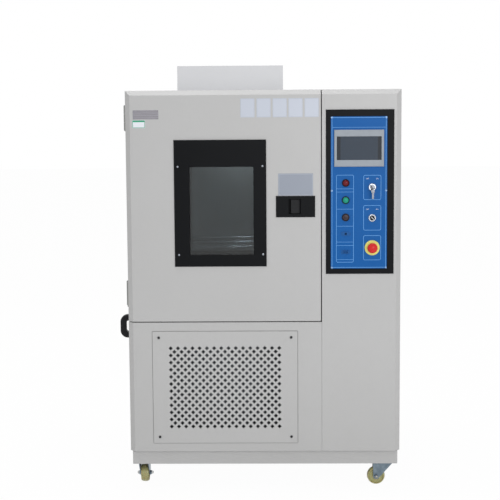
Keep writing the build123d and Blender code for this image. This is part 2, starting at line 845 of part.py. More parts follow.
with BuildPart() as chamber_insulation:
    block(foam_x, foam_y, foam_z)
    block(liner_outer_x, (foam_y[0], liner_back), liner_outer_z, mode=Mode.SUBTRACT)
    with BuildSketch(Plane.XY.offset(liner_outer_z[1])):
        with Locations((fan_x, fan_y)):
            Circle(shaft_tunnel)
    extrude(amount=foam_z[1] - liner_outer_z[1], mode=Mode.SUBTRACT)
    with BuildSketch(Plane.YZ.offset(foam_x[0])):
        with Locations((port_y, port_z)):
            Circle(port_outer + seat_gap)
    extrude(amount=liner_outer_x[0] - foam_x[0], mode=Mode.SUBTRACT)
chamber_insulation.part.label = "chamber_insulation"
export_step(chamber_insulation.part, "parts/chamber_insulation.step")

# Cable port: a sleeve through the left wall and its soft plug
with BuildPart() as cable_port_sleeve:
    with BuildSketch(Plane.YZ.offset(left_x)):
        with Locations((port_y, port_z)):
            Circle(port_outer)
            Circle(port_radius, mode=Mode.SUBTRACT)
    extrude(amount=chamber_x[0] - left_x)
    with BuildSketch(Plane.YZ.offset(left_x)):
        with Locations((port_y, port_z)):
            Circle(port_flange)
            Circle(port_radius, mode=Mode.SUBTRACT)
    extrude(amount=-port_flange_thickness)
cable_port_sleeve.part.label = "cable_port_sleeve"
export_step(cable_port_sleeve.part, "parts/cable_port_sleeve.step")

plug_x = left_x - port_flange_thickness - seat_gap
with BuildPart() as cable_port_plug:
    with BuildSketch(Plane.YZ.offset(plug_x)):
        with Locations((port_y, port_z)):
            Circle(plug_head_radius)
    extrude(amount=-plug_head, taper=15)
    with BuildSketch(Plane.YZ.offset(plug_x)):
        with Locations((port_y, port_z)):
            Circle(port_radius - running_clearance)
    extrude(amount=plug_length)
cable_port_plug.part.label = "cable_port_plug"
export_step(cable_port_plug.part, "parts/cable_port_plug.step")

# Baffle: the chamber's rear wall with outlet and return slots, and the fan's inlet shelf
fan_z = (chamber_z[1] - 22 - fan_height, chamber_z[1] - 22)
inlet_z = (fan_z[0] - 8 - liner_sheet, fan_z[0] - 8)
baffle_y = (duct_y[0], duct_y[0] + liner_sheet)
baffle_x = grown(chamber_x, -seat_gap)

with BuildPart() as air_baffle:
    block(baffle_x, baffle_y, chamber_z)
    block(baffle_x, (duct_y[0], duct_y[1] - seat_gap), inlet_z)
    with BuildSketch(facing_front(baffle_y[0])):
        with Locations((mid(chamber_x), mid((inlet_z[1], chamber_z[1])))):
            with GridLocations(70, 20, 5, 2):
                SlotOverall(56, 12)
        with Locations((mid(chamber_x), chamber_z[0] + 50)):
            with GridLocations(70, 20, 5, 3):
                SlotOverall(56, 10)
    extrude(amount=-liner_sheet, mode=Mode.SUBTRACT)
    with BuildSketch(Plane.XY.offset(inlet_z[0])):
        with Locations((fan_x, fan_y)):
            Circle(fan_radius - blade_depth - 4)
    extrude(amount=liner_sheet, mode=Mode.SUBTRACT)
air_baffle.part.label = "air_baffle"
export_step(air_baffle.part, "parts/air_baffle.step")

# Circulation fan: a drum of curved blades on the shaft that hangs from the motor
shaft_top = roof_z + 25
with BuildPart() as fan_wheel:
    with BuildSketch(Plane.XY.offset(fan_z[1] - 2)):
        with Locations((fan_x, fan_y)):
            Circle(fan_radius)
    extrude(amount=2)
    with BuildSketch(Plane.XY.offset(fan_z[0])):
        with Locations((fan_x, fan_y)):
            Circle(fan_radius)
            Circle(fan_radius - blade_depth, mode=Mode.SUBTRACT)
    extrude(amount=2)
    with BuildSketch(Plane.XY.offset(fan_z[0] + 1)):
        with Locations((fan_x, fan_y)):
            with PolarLocations(fan_radius - blade_depth / 2, fan_blades):
                half = blade_depth / 2 - 1
                thin = blade_thickness / 2
                with BuildLine() as curve:
                    ThreePointArc((-half, -4 + thin), (0, thin), (half, -4 + thin))
                    Line((half, -4 + thin), (half, -4 - thin))
                    ThreePointArc((half, -4 - thin), (0, -thin), (-half, -4 - thin))
                    Line((-half, -4 - thin), (-half, -4 + thin))
                blade_face = make_face(curve.edges(), mode=Mode.PRIVATE)
                add(blade_face)
    extrude(amount=fan_height - 2)
    with BuildSketch(Plane.XY.offset(fan_z[1] - 30)):
        with Locations((fan_x, fan_y)):
            Circle(2.4 * shaft_radius)
    extrude(amount=30)
    with BuildSketch(Plane.XY.offset(fan_z[1] - 30)):
        with Locations((fan_x, fan_y)):
            Circle(shaft_radius)
    extrude(amount=shaft_top - fan_z[1] + 30)
fan_wheel.part.label = "fan_wheel"
export_step(fan_wheel.part, "parts/fan_wheel.step")

with BuildPart() as fan_motor:
    with BuildSketch(Plane.XY.offset(roof_z)):
        with Locations((fan_x, fan_y)):
            RectangleRounded(150, 150, 12)
    extrude(amount=5)
    with BuildSketch(Plane.XY.offset(roof_z + 5)):
        with Locations((fan_x, fan_y)):
            Circle(motor_radius)
    extrude(amount=motor_height)
    chamfer(fan_motor.faces().sort_by(Axis.Z)[-1].edges(), length=10)
    with BuildSketch(Plane.XY.offset(roof_z)):
        with Locations((fan_x, fan_y)):
            Circle(shaft_radius + running_clearance)
    extrude(amount=shaft_top - roof_z + 2, mode=Mode.SUBTRACT)
fan_motor.part.label = "fan_motor"
export_step(fan_motor.part, "parts/fan_motor.step")

# Door: folded outer pan with the window's and the latch's cut-outs
frame_x = about(mid(chamber_x), frame_width)
frame_z = about(mid(chamber_z) + frame_drop, frame_height)
glass_x = about(mid(frame_x) + glass_shift, glass_width)
glass_z = (frame_z[0] + glass_sill, frame_z[0] + glass_sill + glass_height)
window_x = grown(glass_x, glass_lap)
window_z = grown(glass_z, glass_lap)
latch_x = (door_x[1] - latch_edge - latch_width, door_x[1] - latch_edge)
latch_z = about(door_z[0] + latch_rise, latch_height)
housing_x = grown(latch_x, -latch_margin)
housing_z = grown(latch_z, -latch_margin + 1)
bolt_y = (front_y + bolt_setback, front_y + bolt_setback + bolt_thickness)
bolt_z = about(mid(latch_z), bolt_height)
shell_back = front_y + door_thickness - liner_sheet
door_back = front_y + door_thickness

with BuildPart() as door_shell:
    block(door_x, (front_y, shell_back), door_z)
    front = door_shell.faces().sort_by(Axis.Y)[0]
    chamfer([front.edges().sort_by(Axis.X)[0], front.edges().sort_by(Axis.Z)[-1]], length=bevel)
    corner = door_shell.edges().filter_by(Axis.Y).group_by(Axis.X)[-1].sort_by(Axis.Z)[0]
    fillet(corner, radius=door_corner)
    behind = door_shell.faces().sort_by(Axis.Y)[-1]
    offset(amount=-sheet, openings=behind, kind=Kind.INTERSECTION)
    with BuildSketch(facing_front(front_y)):
        pane(window_x, window_z)
        pane(grown(housing_x, seat_gap), grown(housing_z, seat_gap))
    extrude(amount=-sheet, mode=Mode.SUBTRACT)
    bolt_hole = grown(bolt_y, 2 * seat_gap), grown(bolt_z, 2 * seat_gap)
    block((door_x[1] - sheet, door_x[1]), *bolt_hole, mode=Mode.SUBTRACT)
door_shell.part.label = "door_shell"
export_step(door_shell.part, "parts/door_shell.step")

# Door liner: back plate, hollow plug that enters the mouth, and the window's tunnel
plug_span_x = grown(chamber_x, -plug_clearance)
plug_span_z = grown(chamber_z, -plug_clearance)
plug_face = door_back + plug_depth
tunnel_x = grown(window_x, liner_sheet)
tunnel_z = grown(window_z, liner_sheet)

with BuildPart() as door_liner:
    block(grown(door_x, -panel_joint), (shell_back, door_back), grown(door_z, -panel_joint))
    block(plug_span_x, (shell_back, plug_face), plug_span_z)
    hollow_z = grown(plug_span_z, -liner_sheet)
    hollow_y = (shell_back, plug_face - liner_sheet)
    block(grown(plug_span_x, -liner_sheet), hollow_y, hollow_z, mode=Mode.SUBTRACT)
    block(tunnel_x, (front_y + sheet, plug_face), tunnel_z)
    block(window_x, (front_y + sheet, plug_face - liner_sheet), window_z, mode=Mode.SUBTRACT)
    block(glass_x, (front_y, plug_face), glass_z, mode=Mode.SUBTRACT)
door_liner.part.label = "door_liner"
export_step(door_liner.part, "parts/door_liner.step")

with BuildPart() as door_gasket:
    ring_x = grown(chamber_x, gasket_offset)
    ring_z = grown(chamber_z, gasket_offset)
    with BuildSketch(facing_front(door_back)):
        pane(grown(ring_x, gasket_width), grown(ring_z, gasket_width))
        pane(ring_x, ring_z, mode=Mode.SUBTRACT)
    extrude(amount=-(gasket_gap - seat_gap))
    chamfer(door_gasket.faces().sort_by(Axis.Y)[-1].edges(), length=3)
door_gasket.part.label = "door_gasket"
export_step(door_gasket.part, "parts/door_gasket.step")

with BuildPart() as window_frame:
    with BuildSketch(facing_front(front_y)):
        pane(frame_x, frame_z)
        pane(glass_x, glass_z, mode=Mode.SUBTRACT)
    extrude(amount=frame_thickness)
    chamfer(window_frame.faces().sort_by(Axis.Y)[0].edges(), length=1.2)
window_frame.part.label = "window_frame"
export_step(window_frame.part, "parts/window_frame.step")

with BuildPart() as window_panes:
    pane_x = grown(window_x, -seat_gap)
    pane_z = grown(window_z, -seat_gap)
    block(pane_x, (front_y, front_y + glass_thickness), pane_z)
    inner_y = plug_face - liner_sheet
    block(pane_x, (inner_y - glass_thickness, inner_y), pane_z)
window_panes.part.label = "window_panes"
export_step(window_panes.part, "parts/window_panes.step")

# Hinges on the left side: the cabinet holds the middle knuckle and the pin, the door the outer two
hinge_x = left_x - barrel_radius
hinge_y = mid((door_back, jamb_y))
hinge_places = (roof_z - hinge_upper, door_z[0] + hinge_lower)
knuckle = hinge_length / 3
knuckle_gap = 0.4


def hinge_leaf(knuckle_z, plate_y, plate_z):
    """One knuckle and the leaf behind it on the cabinet's side, in the open part."""
    with BuildSketch(Plane.XY.offset(knuckle_z[0])) as ring:
        with Locations((hinge_x, hinge_y)):
            Circle(barrel_radius)
        pane((left_x - leaf_thickness, left_x), sorted((hinge_y, mid(plate_y))))
        with Locations((hinge_x, hinge_y)):
            Circle(pin_radius + running_clearance, mode=Mode.SUBTRACT)
    extrude(ring.sketch, amount=length(knuckle_z))
    block((left_x - leaf_thickness, left_x), plate_y, plate_z)


with BuildPart() as hinge_cabinet_halves:
    for middle in hinge_places:
        leaf_y = (hinge_y + barrel_radius + knuckle_gap, hinge_y + barrel_radius + leaf_reach)
        middle_third = grown(about(middle, knuckle), -knuckle_gap)
        hinge_leaf(middle_third, leaf_y, about(middle, hinge_length))
        with BuildSketch(Plane.XY.offset(middle - hinge_length / 2 - 2)):
            with Locations((hinge_x, hinge_y)):
                Circle(pin_radius)
        extrude(amount=hinge_length + 2)
        with BuildSketch(Plane.XY.offset(middle + hinge_length / 2)):
            with Locations((hinge_x, hinge_y)):
                Circle(pin_radius + 1.5)
        extrude(amount=2)
hinge_cabinet_halves.part.label = "hinge_cabinet_halves"
export_step(hinge_cabinet_halves.part, "parts/hinge_cabinet_halves.step")

with BuildPart() as hinge_door_leaves:
    for middle in hinge_places:
        leaf_y = (hinge_y - barrel_radius - leaf_reach, hinge_y - barrel_radius - knuckle_gap)
        for end in (-1, 1):
            third = grown(about(middle + end * knuckle, knuckle), -knuckle_gap)
            hinge_leaf(third, leaf_y, about(middle, hinge_length))
hinge_door_leaves.part.label = "hinge_door_leaves"
export_step(hinge_door_leaves.part, "parts/hinge_door_leaves.step")

# Latch: flush housing, a paddle on a vertical pivot, and the bolt that its arm draws back
pocket_x = about(mid(latch_x) + pocket_offset, pocket_width)
pocket_z = about(mid(latch_z), pocket_height)
pivot_x = pocket_x[1] - paddle_pivot
pivot_y = front_y + pivot_radius + 2
channel_y = grown(bolt_y, seat_gap)
channel_z = grown(bolt_z, seat_gap)
bolt_travel = 8.5
bolt_x = (pivot_x - 18, door_x[1] + door_seam - seat_gap)
arm_half = arm_thickness / 2

with BuildPart() as latch_housing:
    block(housing_x, (front_y, front_y + housing_depth), housing_z)
    with BuildSketch(facing_front(front_y)):
        pane(latch_x, latch_z)
    extrude(amount=latch_plate)
    chamfer(latch_housing.faces().sort_by(Axis.Y)[0].edges(), length=1)
    block(pocket_x, (front_y - latch_plate, front_y + pocket_depth), pocket_z, mode=Mode.SUBTRACT)
    channel_x = (bolt_x[0] - bolt_travel - 1, housing_x[1])
    block(channel_x, channel_y, channel_z, mode=Mode.SUBTRACT)
    arm_way_x = (pivot_x - paddle_arm, pivot_x + arm_thickness)
    arm_way_y = (front_y + pocket_depth, channel_y[1])
    block(arm_way_x, arm_way_y, grown(bolt_z, -3), mode=Mode.SUBTRACT)
    with BuildSketch(Plane.XY.offset(mid(latch_z))):
        with Locations((pivot_x, pivot_y)):
            Circle(pivot_radius)
    extrude(amount=pocket_height / 2, both=True)
latch_housing.part.label = "latch_housing"
export_step(latch_housing.part, "parts/latch_housing.step")

with BuildPart() as latch_paddle:
    sleeve = pivot_radius + running_clearance
    with BuildSketch(Plane.XY.offset(mid(latch_z))):
        with Locations((pivot_x, pivot_y)):
            Circle(sleeve + 2)
        pane((pivot_x - paddle_width, pivot_x), about(pivot_y - 2, paddle_thickness))
        with Locations((pivot_x, pivot_y)):
            Circle(sleeve, mode=Mode.SUBTRACT)
    extrude(amount=paddle_height / 2, both=True)
    arm_y = (pivot_y + sleeve + 1, pivot_y + paddle_arm + 4)
    block((pivot_x - arm_half, pivot_x + arm_half), arm_y, grown(bolt_z, -4))
latch_paddle.part.label = "latch_paddle"
export_step(latch_paddle.part, "parts/latch_paddle.step")

with BuildPart() as latch_bolt:
    block(bolt_x, bolt_y, bolt_z)
    block(about(pivot_x, bolt_slot), (bolt_y[0], bolt_y[1] - 2), grown(bolt_z, -3), mode=Mode.SUBTRACT)
    nose = latch_bolt.faces().sort_by(Axis.X)[-1]
    chamfer(nose.edges().filter_by(Axis.Z), length=2)
latch_bolt.part.label = "latch_bolt"
export_step(latch_bolt.part, "parts/latch_bolt.step")

# Wire shelf on the ledges
rail_radius = 3.0
wire_radius = 1.5
wire_count = 15
shelf_x = grown(chamber_x, -3 - rail_radius)
shelf_y = (jamb_y + 33, duct_y[0] - 15)
shelf_z = ledge_z + seat_gap + rail_radius

with BuildPart() as shelf:
    for x in shelf_x:
        with BuildSketch(facing_front(shelf_y[0] - rail_radius)):
            with Locations((x, shelf_z)):
                Circle(rail_radius)
        extrude(amount=-(length(shelf_y) + 2 * rail_radius))
    for y in (*shelf_y, mid(shelf_y)):
        with BuildSketch(Plane.YZ.offset(shelf_x[0])):
            with Locations((y, shelf_z)):
                Circle(rail_radius)
        extrude(amount=length(shelf_x))
    with BuildSketch(facing_front(shelf_y[0])):
        with Locations((mid(shelf_x), shelf_z)):
            with GridLocations(length(shelf_x) / (wire_count + 1), 0, wire_count, 1):
                Circle(wire_radius)
    extrude(amount=-length(shelf_y))
shelf.part.label = "shelf"
export_step(shelf.part, "parts/shelf.step")

# Bow handle low on the left side
handle_y = (front_y + handle_setback, front_y + handle_setback + handle_depth)
handle_z = (deck_z + handle_rise, deck_z + handle_rise + handle_length)
with BuildPart() as side_handle:
    with BuildSketch(facing_front(mid(handle_y))):
        pane((left_x - handle_reach, left_x), handle_z)
    extrude(amount=handle_depth / 2, both=True)
    ends = side_handle.edges().filter_by(Axis.Y).group_by(Axis.X)[0]
    fillet(ends, radius=handle_grip + 5)
    gap_z = grown(handle_z, -handle_grip)
    gap_x = (left_x - handle_reach + handle_grip, left_x)
    block(gap_x, handle_y, gap_z, mode=Mode.SUBTRACT)
    inner_ends = side_handle.edges().filter_by(Axis.Y).filter_by_position(Axis.X, gap_x[0] - 1, gap_x[0] + 1)
    fillet(inner_ends, radius=9)
    chamfer(side_handle.faces().sort_by(Axis.X)[0].edges().filter_by(Axis.Z), length=4)
side_handle.part.label = "side_handle"
export_step(side_handle.part, "parts/side_handle.step")

# Heater: a serpentine rod on a flange at the chamber's right wall
heater_z = chamber_z[0] + 215.0
heater_pitch = 30.0
heater_runs = 4
heater_radius = 4.0
heater_x = (chamber_x[0] + 45, chamber_x[1] - 4)

with BuildPart() as heater_coil:
    corners = []
    for run in range(heater_runs):
        run_z = heater_z + run * heater_pitch
        right_end = heater_x[1] if run in (0, heater_runs - 1) else heater_x[1] - 50
        ends = [(right_end, run_z), (heater_x[0], run_z)]
        corners += ends if run % 2 == 0 else ends[::-1]
    with BuildLine(facing_front(mid(duct_y))) as rod:
        FilletPolyline(*corners, radius=heater_pitch / 2 - 1)
    with BuildSketch(Plane(origin=rod.line @ 0, z_dir=rod.line % 0)):
        Circle(heater_radius)
    sweep()
    flange_z = (heater_z - 20, heater_z + (heater_runs - 1) * heater_pitch + 20)
    block((heater_x[1], chamber_x[1]), about(mid(duct_y), 40), flange_z)
heater_coil.part.label = "heater_coil"
export_step(heater_coil.part, "parts/heater_coil.step")


def finned_coil(x_span, y_span, z_span, foot_z, groove_pitch):
    """Grooved core between two end plates that stand on foot_z, in the open part."""
    with BuildSketch(Plane.XY.offset(z_span[0])) as core:
        pane(x_span, y_span)
        with Locations(*[(mid(x_span), y) for y in y_span]):
            count = int(length(x_span) / groove_pitch)
            with GridLocations(groove_pitch, 0, count, 1):
                Rectangle(4, 16, mode=Mode.SUBTRACT)
    extrude(core.sketch, amount=length(z_span))
    for end in x_span:
        block(about(end, 3), grown(y_span, 4), (foot_z, z_span[1] + 6))


coil_x = grown(chamber_x, -30)
coil_y = (duct_y[0] + 25, duct_y[1] - 25)
coil_z = (chamber_z[0] + 55, chamber_z[0] + 180)
with BuildPart() as evaporator:
    finned_coil(coil_x, coil_y, coil_z, chamber_z[0], 24)
evaporator.part.label = "evaporator"
export_step(evaporator.part, "parts/evaporator.step")

with BuildPart() as humidifier_pan:
    block(grown(coil_x, -20), coil_y, (chamber_z[0], chamber_z[0] + 32))
    top = humidifier_pan.faces().sort_by(Axis.Z)[-1]
    offset(amount=-2, openings=top, kind=Kind.INTERSECTION)
humidifier_pan.part.label = "humidifier_pan"
export_step(humidifier_pan.part, "parts/humidifier_pan.step")

# Condenser behind the grille, with the fan and its mount on the coil's back
condenser_x = about(mid(grille_x), condenser_width)
condenser_y = (front_y + condenser_setback, front_y + condenser_setback + condenser_thickness)
condenser_z = (deck_z + 40, deck_z + 40 + condenser_height)
with BuildPart() as condenser_coil:
    finned_coil(condenser_x, condenser_y, condenser_z, deck_z, 20)
condenser_coil.part.label = "condenser_coil"
export_step(condenser_coil.part, "parts/condenser_coil.step")

mount_y = condenser_y[1] + 4
ring_depth = 32.0
ring_wall = 3.0
tip_gap = 5.0
fan_motor_radius = 36.0
fan_shaft_radius = 5.0
fan_at = (mid(condenser_x), mid(condenser_z))
ring_radius = condenser_fan_radius + tip_gap
arms_y = mount_y + ring_depth

with BuildPart() as condenser_fan_mount:
    with BuildSketch(facing_front(mount_y)):
        pane(condenser_x, condenser_z)
        with Locations(fan_at):
            Circle(ring_radius, mode=Mode.SUBTRACT)
    extrude(amount=-2)
    with BuildSketch(facing_front(mount_y)):
        with Locations(fan_at):
            Circle(ring_radius + ring_wall)
            Circle(ring_radius, mode=Mode.SUBTRACT)
    extrude(amount=-(ring_depth + 6))
    with BuildSketch(facing_front(arms_y)):
        with Locations(fan_at):
            Rectangle(2 * ring_radius + ring_wall, 14, rotation=45)
            Rectangle(2 * ring_radius + ring_wall, 14, rotation=-45)
            Circle(fan_motor_radius)
    extrude(amount=-6)
    with BuildSketch(facing_front(arms_y)):
        with Locations(fan_at):
            Circle(fan_motor_radius)
    extrude(amount=-60)
    chamfer(condenser_fan_mount.faces().sort_by(Axis.Y)[-1].edges(), length=6)
    with BuildSketch(facing_front(arms_y)):
        with Locations(fan_at):
            Circle(fan_shaft_radius)
    extrude(amount=ring_depth - 6)
condenser_fan_mount.part.label = "condenser_fan_mount"
export_step(condenser_fan_mount.part, "parts/condenser_fan_mount.step")

hub_radius = 30.0
hub_y = (mount_y + 5, arms_y - 3)
blade_root = (44.0, 38.0)  # chord and pitch angle
blade_tip = (74.0, 20.0)
fan_plane = Plane(origin=(fan_at[0], mid(hub_y), fan_at[1]), x_dir=(1, 0, 0), z_dir=(0, 1, 0))


def blade_section(radius):
    """Plane across a blade at this radius: its x axis is tangential and its y axis axial."""
    centre = fan_plane.from_local_coords((radius, 0, 0))
    return Plane(origin=centre, x_dir=fan_plane.y_dir, z_dir=fan_plane.x_dir)


with BuildPart() as fan_blade:
    for radius, (chord, pitch) in ((hub_radius - 6, blade_root), (condenser_fan_radius, blade_tip)):
        with BuildSketch(blade_section(radius)):
            Rectangle(chord * min(1, radius / hub_radius), 1.8, rotation=pitch)
    loft()

with BuildPart() as condenser_fan:
    with BuildSketch(facing_front(hub_y[0])):
        with Locations(fan_at):
            Circle(hub_radius)
    extrude(amount=-length(hub_y))
    for turn in range(condenser_fan_blades):
        add(fan_blade.part.rotate(Axis(fan_plane.origin, fan_plane.z_dir), turn * 360 / condenser_fan_blades))
    with BuildSketch(fan_plane):
        Circle(condenser_fan_radius)
    extrude(amount=length(hub_y), both=True, mode=Mode.INTERSECT)
    with BuildSketch(facing_front(hub_y[0])):
        with Locations(fan_at):
            Circle(fan_shaft_radius + running_clearance)
    extrude(amount=-length(hub_y), mode=Mode.SUBTRACT)
condenser_fan.part.label = "condenser_fan"
export_step(condenser_fan.part, "parts/condenser_fan.step")

# Hermetic compressor: two domed halves that meet in a weld band, on a plate with rubber feet
compressor_x = left_x + 250
compressor_y = front_y + 600
foot_height = 18.0
band_z = compressor_height * 0.55
shell_foot = (compressor_x, compressor_y, deck_z + foot_height + 4)
with BuildPart() as compressor:
    with BuildSketch(Plane(shell_foot, x_dir=(1, 0, 0), z_dir=(0, -1, 0))):
        with BuildLine():
            Line((0, 0), (compressor_radius * 0.6, 0))
            TangentArc((compressor_radius * 0.6, 0), (compressor_radius, 34), tangent=(1, 0))
            Polyline(
                (compressor_radius, 34),
                (compressor_radius, band_z - 6),
                (compressor_radius + 4, band_z - 6),
                (compressor_radius + 4, band_z),
                (compressor_radius - 1, band_z),
                (compressor_radius - 1, compressor_height - 40),
            )
            dome_edge = (compressor_radius - 1, compressor_height - 40)
            TangentArc((0, compressor_height), dome_edge, tangent=(1, 0))
            Line((0, compressor_height), (0, 0))
        make_face()
    revolve(axis=Axis((compressor_x, compressor_y, 0), (0, 0, 1)))
    with BuildSketch(Plane.XY.offset(deck_z + foot_height)):
        with Locations((compressor_x, compressor_y)):
            RectangleRounded(230, 150, 15)
    extrude(amount=4)
    with BuildSketch(Plane.XY.offset(deck_z)):
        with Locations((compressor_x, compressor_y)):
            with GridLocations(190, 110, 2, 2):
                Circle(14)
    extrude(amount=foot_height)
compressor.part.label = "compressor"
export_step(compressor.part, "parts/compressor.step")

# Electrical panel on the deck in the control column, with two rows of contactors
board_x = (right_x - 70, right_x - 67)
board_y = (jamb_y + 140, jamb_y + 720)
contactor = (75.0, 62.0, 78.0)
with BuildPart() as electrical_panel:
    block(board_x, board_y, (deck_z, deck_z + 880))
    with BuildSketch(Plane.YZ.offset(board_x[0])):
        for row_z in (deck_z + 420, deck_z + 640):
            with Locations((mid(board_y), row_z)):
                Rectangle(length(board_y) - 60, 35)
    extrude(amount=-8)
    with BuildSketch(Plane.YZ.offset(board_x[0] - 8)):
        for row_z in (deck_z + 420, deck_z + 640):
            with Locations((mid(board_y), row_z)):
                with GridLocations(contactor[1] + 30, 0, 5, 1):
                    Rectangle(contactor[1], contactor[2])
    extrude(amount=-contactor[0])
electrical_panel.part.label = "electrical_panel"
export_step(electrical_panel.part, "parts/electrical_panel.step")

# Rear fittings: the drain's hose stub and the mains lead's gland
with BuildPart() as drain_stub:
    with BuildSketch(facing_front(rear_y)):
        with Locations((drain_x, drain_z)):
            RegularPolygon(14, 6)
    extrude(amount=-5)
    with BuildSketch(facing_front(rear_y - 30)):
        with Locations((drain_x, drain_z)):
            Circle(drain_radius)
    extrude(amount=-(30 + drain_reach))
    with BuildSketch(facing_front(rear_y - 30)):
        with Locations((drain_x, drain_z)):
            Circle(drain_bore)
    extrude(amount=-(30 + drain_reach), mode=Mode.SUBTRACT)
drain_stub.part.label = "drain_stub"
export_step(drain_stub.part, "parts/drain_stub.step")

with BuildPart() as cable_gland:
    with BuildSketch(facing_front(rear_y)):
        with Locations((gland_x, gland_z)):
            RegularPolygon(gland_radius + 2, 6)
    extrude(amount=-8)
    with BuildSketch(facing_front(rear_y + 8)):
        with Locations((gland_x, gland_z)):
            Circle(gland_radius)
    extrude(amount=-(gland_reach - 8))
    chamfer(cable_gland.faces().sort_by(Axis.Y)[-1].edges(), length=3)
    with BuildSketch(facing_front(rear_y - 12)):
        with Locations((gland_x, gland_z)):
            Circle(gland_radius - 4)
    extrude(amount=-12)
    with BuildSketch(facing_front(rear_y - 12)):
        with Locations((gland_x, gland_z)):
            Circle(gland_bore)
    extrude(amount=-(12 + gland_reach), mode=Mode.SUBTRACT)
cable_gland.part.label = "cable_gland"
export_step(cable_gland.part, "parts/cable_gland.step")
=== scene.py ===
import math
import bpy
import numpy as np
from mathutils import Matrix, Vector


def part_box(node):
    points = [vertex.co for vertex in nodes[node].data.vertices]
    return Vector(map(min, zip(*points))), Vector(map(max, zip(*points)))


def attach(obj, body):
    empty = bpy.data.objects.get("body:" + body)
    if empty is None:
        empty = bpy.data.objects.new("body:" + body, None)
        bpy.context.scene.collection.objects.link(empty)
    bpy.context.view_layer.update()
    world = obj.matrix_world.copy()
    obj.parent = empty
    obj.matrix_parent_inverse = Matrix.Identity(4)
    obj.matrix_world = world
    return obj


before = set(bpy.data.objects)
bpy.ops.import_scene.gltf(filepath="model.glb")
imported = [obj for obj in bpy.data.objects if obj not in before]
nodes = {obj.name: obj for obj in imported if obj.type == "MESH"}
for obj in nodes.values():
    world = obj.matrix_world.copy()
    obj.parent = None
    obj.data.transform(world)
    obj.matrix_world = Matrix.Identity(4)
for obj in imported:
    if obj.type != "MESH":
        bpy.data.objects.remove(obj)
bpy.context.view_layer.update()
print("frame loaded with", len(nodes), "nodes")


# Colours are written as they look on screen, 0 to 255
def seen(red, green, blue):
    share = np.array([red, green, blue]) / 255
    linear = np.where(share <= 0.04045, share / 12.92, ((share + 0.055) / 1.055) ** 2.4)
    return (*[float(part) for part in linear], 1.0)


# Camera, lights and floor
studio = {
    "cameraAt": (0.0485, -4.63425, 1.296),
    "yaw": -1.02, "pitch": 6.08, "roll": -0.39,  # degrees
    "lens": 86.4, "sensor": 36, "seesBetween": (0.05, 60),
    "skyStrength": 0.62,
    "topLight": {"at": (-0.3, 0.3, 4.6), "aim": (0, 0.2, 0.8), "size": (3.6, 3.0), "power": 84},
    "frontLight": {"at": (1.8, -5.4, 1.9), "aim": (0, -0.5, 0.6), "size": (3.0, 2.8), "power": 96},
    "chamberLight": {"at": (-0.05, -0.36, 1.235), "aim": (-0.2, -0.1, 0.80), "size": (0.16, 0.05),
                     "power": 1.1},
    "floorTint": seen(240, 240, 240),
    "floorGlow": 0.97,
    "floorReach": 30.0,
}


def makeCamera(settings):
    yaw, pitch, roll = (math.radians(settings[key]) for key in ("yaw", "pitch", "roll"))
    ahead = Vector((math.sin(yaw) * math.cos(pitch), math.cos(yaw) * math.cos(pitch), -math.sin(pitch)))
    right = Vector((math.cos(yaw), -math.sin(yaw), 0))
    up = right.cross(ahead)
    rolledRight = right * math.cos(roll) + up * math.sin(roll)
    rolledUp = up * math.cos(roll) - right * math.sin(roll)
    camera = bpy.data.objects.new("camera", bpy.data.cameras.new("camera"))
    camera.data.lens = settings["lens"]
    camera.data.sensor_width = settings["sensor"]
    camera.data.clip_start, camera.data.clip_end = settings["seesBetween"]
    turned = Matrix((rolledRight, rolledUp, -ahead)).transposed().to_4x4()
    camera.matrix_world = Matrix.Translation(settings["cameraAt"]) @ turned
    bpy.context.scene.collection.objects.link(camera)
    bpy.context.scene.camera = camera


def makeAreaLight(name, settings):
    lamp = bpy.data.lights.new(name, "AREA")
    lamp.shape = "RECTANGLE"
    lamp.size, lamp.size_y = settings["size"]
    lamp.energy = settings["power"]
    holder = bpy.data.objects.new(name, lamp)
    holder.location = settings["at"]
    towards = Vector(settings["aim"]) - Vector(settings["at"])
    holder.rotation_euler = towards.to_track_quat("-Z", "Y").to_euler()
    bpy.context.scene.collection.objects.link(holder)


# Small builder for node trees: settings are attributes, sockets take a value or a link
def addNode(tree, kind, settings=None, sockets=None):
    node = tree.nodes.new(kind)
    for key, value in (settings or {}).items():
        setattr(node, key, value)
    for key, value in (sockets or {}).items():
        if isinstance(value, bpy.types.NodeSocket):
            tree.links.new(value, node.inputs[key])
        else:
            node.inputs[key].default_value = value
    return node


def calculated(tree, operation, *values):
    return addNode(tree, "ShaderNodeMath", {"operation": operation}, dict(enumerate(values))).outputs[0]


# White for the eye, in reflections and through glass, and a plain level for the light that it gives
def showWhite(tree, plain, bright):
    path = addNode(tree, "ShaderNodeLightPath").outputs
    eye = calculated(tree, "MAXIMUM", path["Is Camera Ray"], path["Is Glossy Ray"])
    seenRay = calculated(tree, "MAXIMUM", eye, path["Is Transmission Ray"])
    return addNode(tree, "ShaderNodeMixShader", {}, {"Fac": seenRay, 1: plain, 2: bright})


def makeSky(settings):
    world = bpy.data.worlds.new("studioSky")
    world.use_nodes = True
    tree = world.node_tree
    tree.nodes.clear()
    white = (1, 1, 1, 1)
    plain = addNode(tree, "ShaderNodeBackground", {}, {"Color": white, "Strength": settings["skyStrength"]})
    bright = addNode(tree, "ShaderNodeBackground", {}, {"Color": white, "Strength": 1.0})
    mixed = showWhite(tree, plain.outputs[0], bright.outputs[0])
    addNode(tree, "ShaderNodeOutputWorld", {}, {"Surface": mixed.outputs[0]})
    bpy.context.scene.world = world


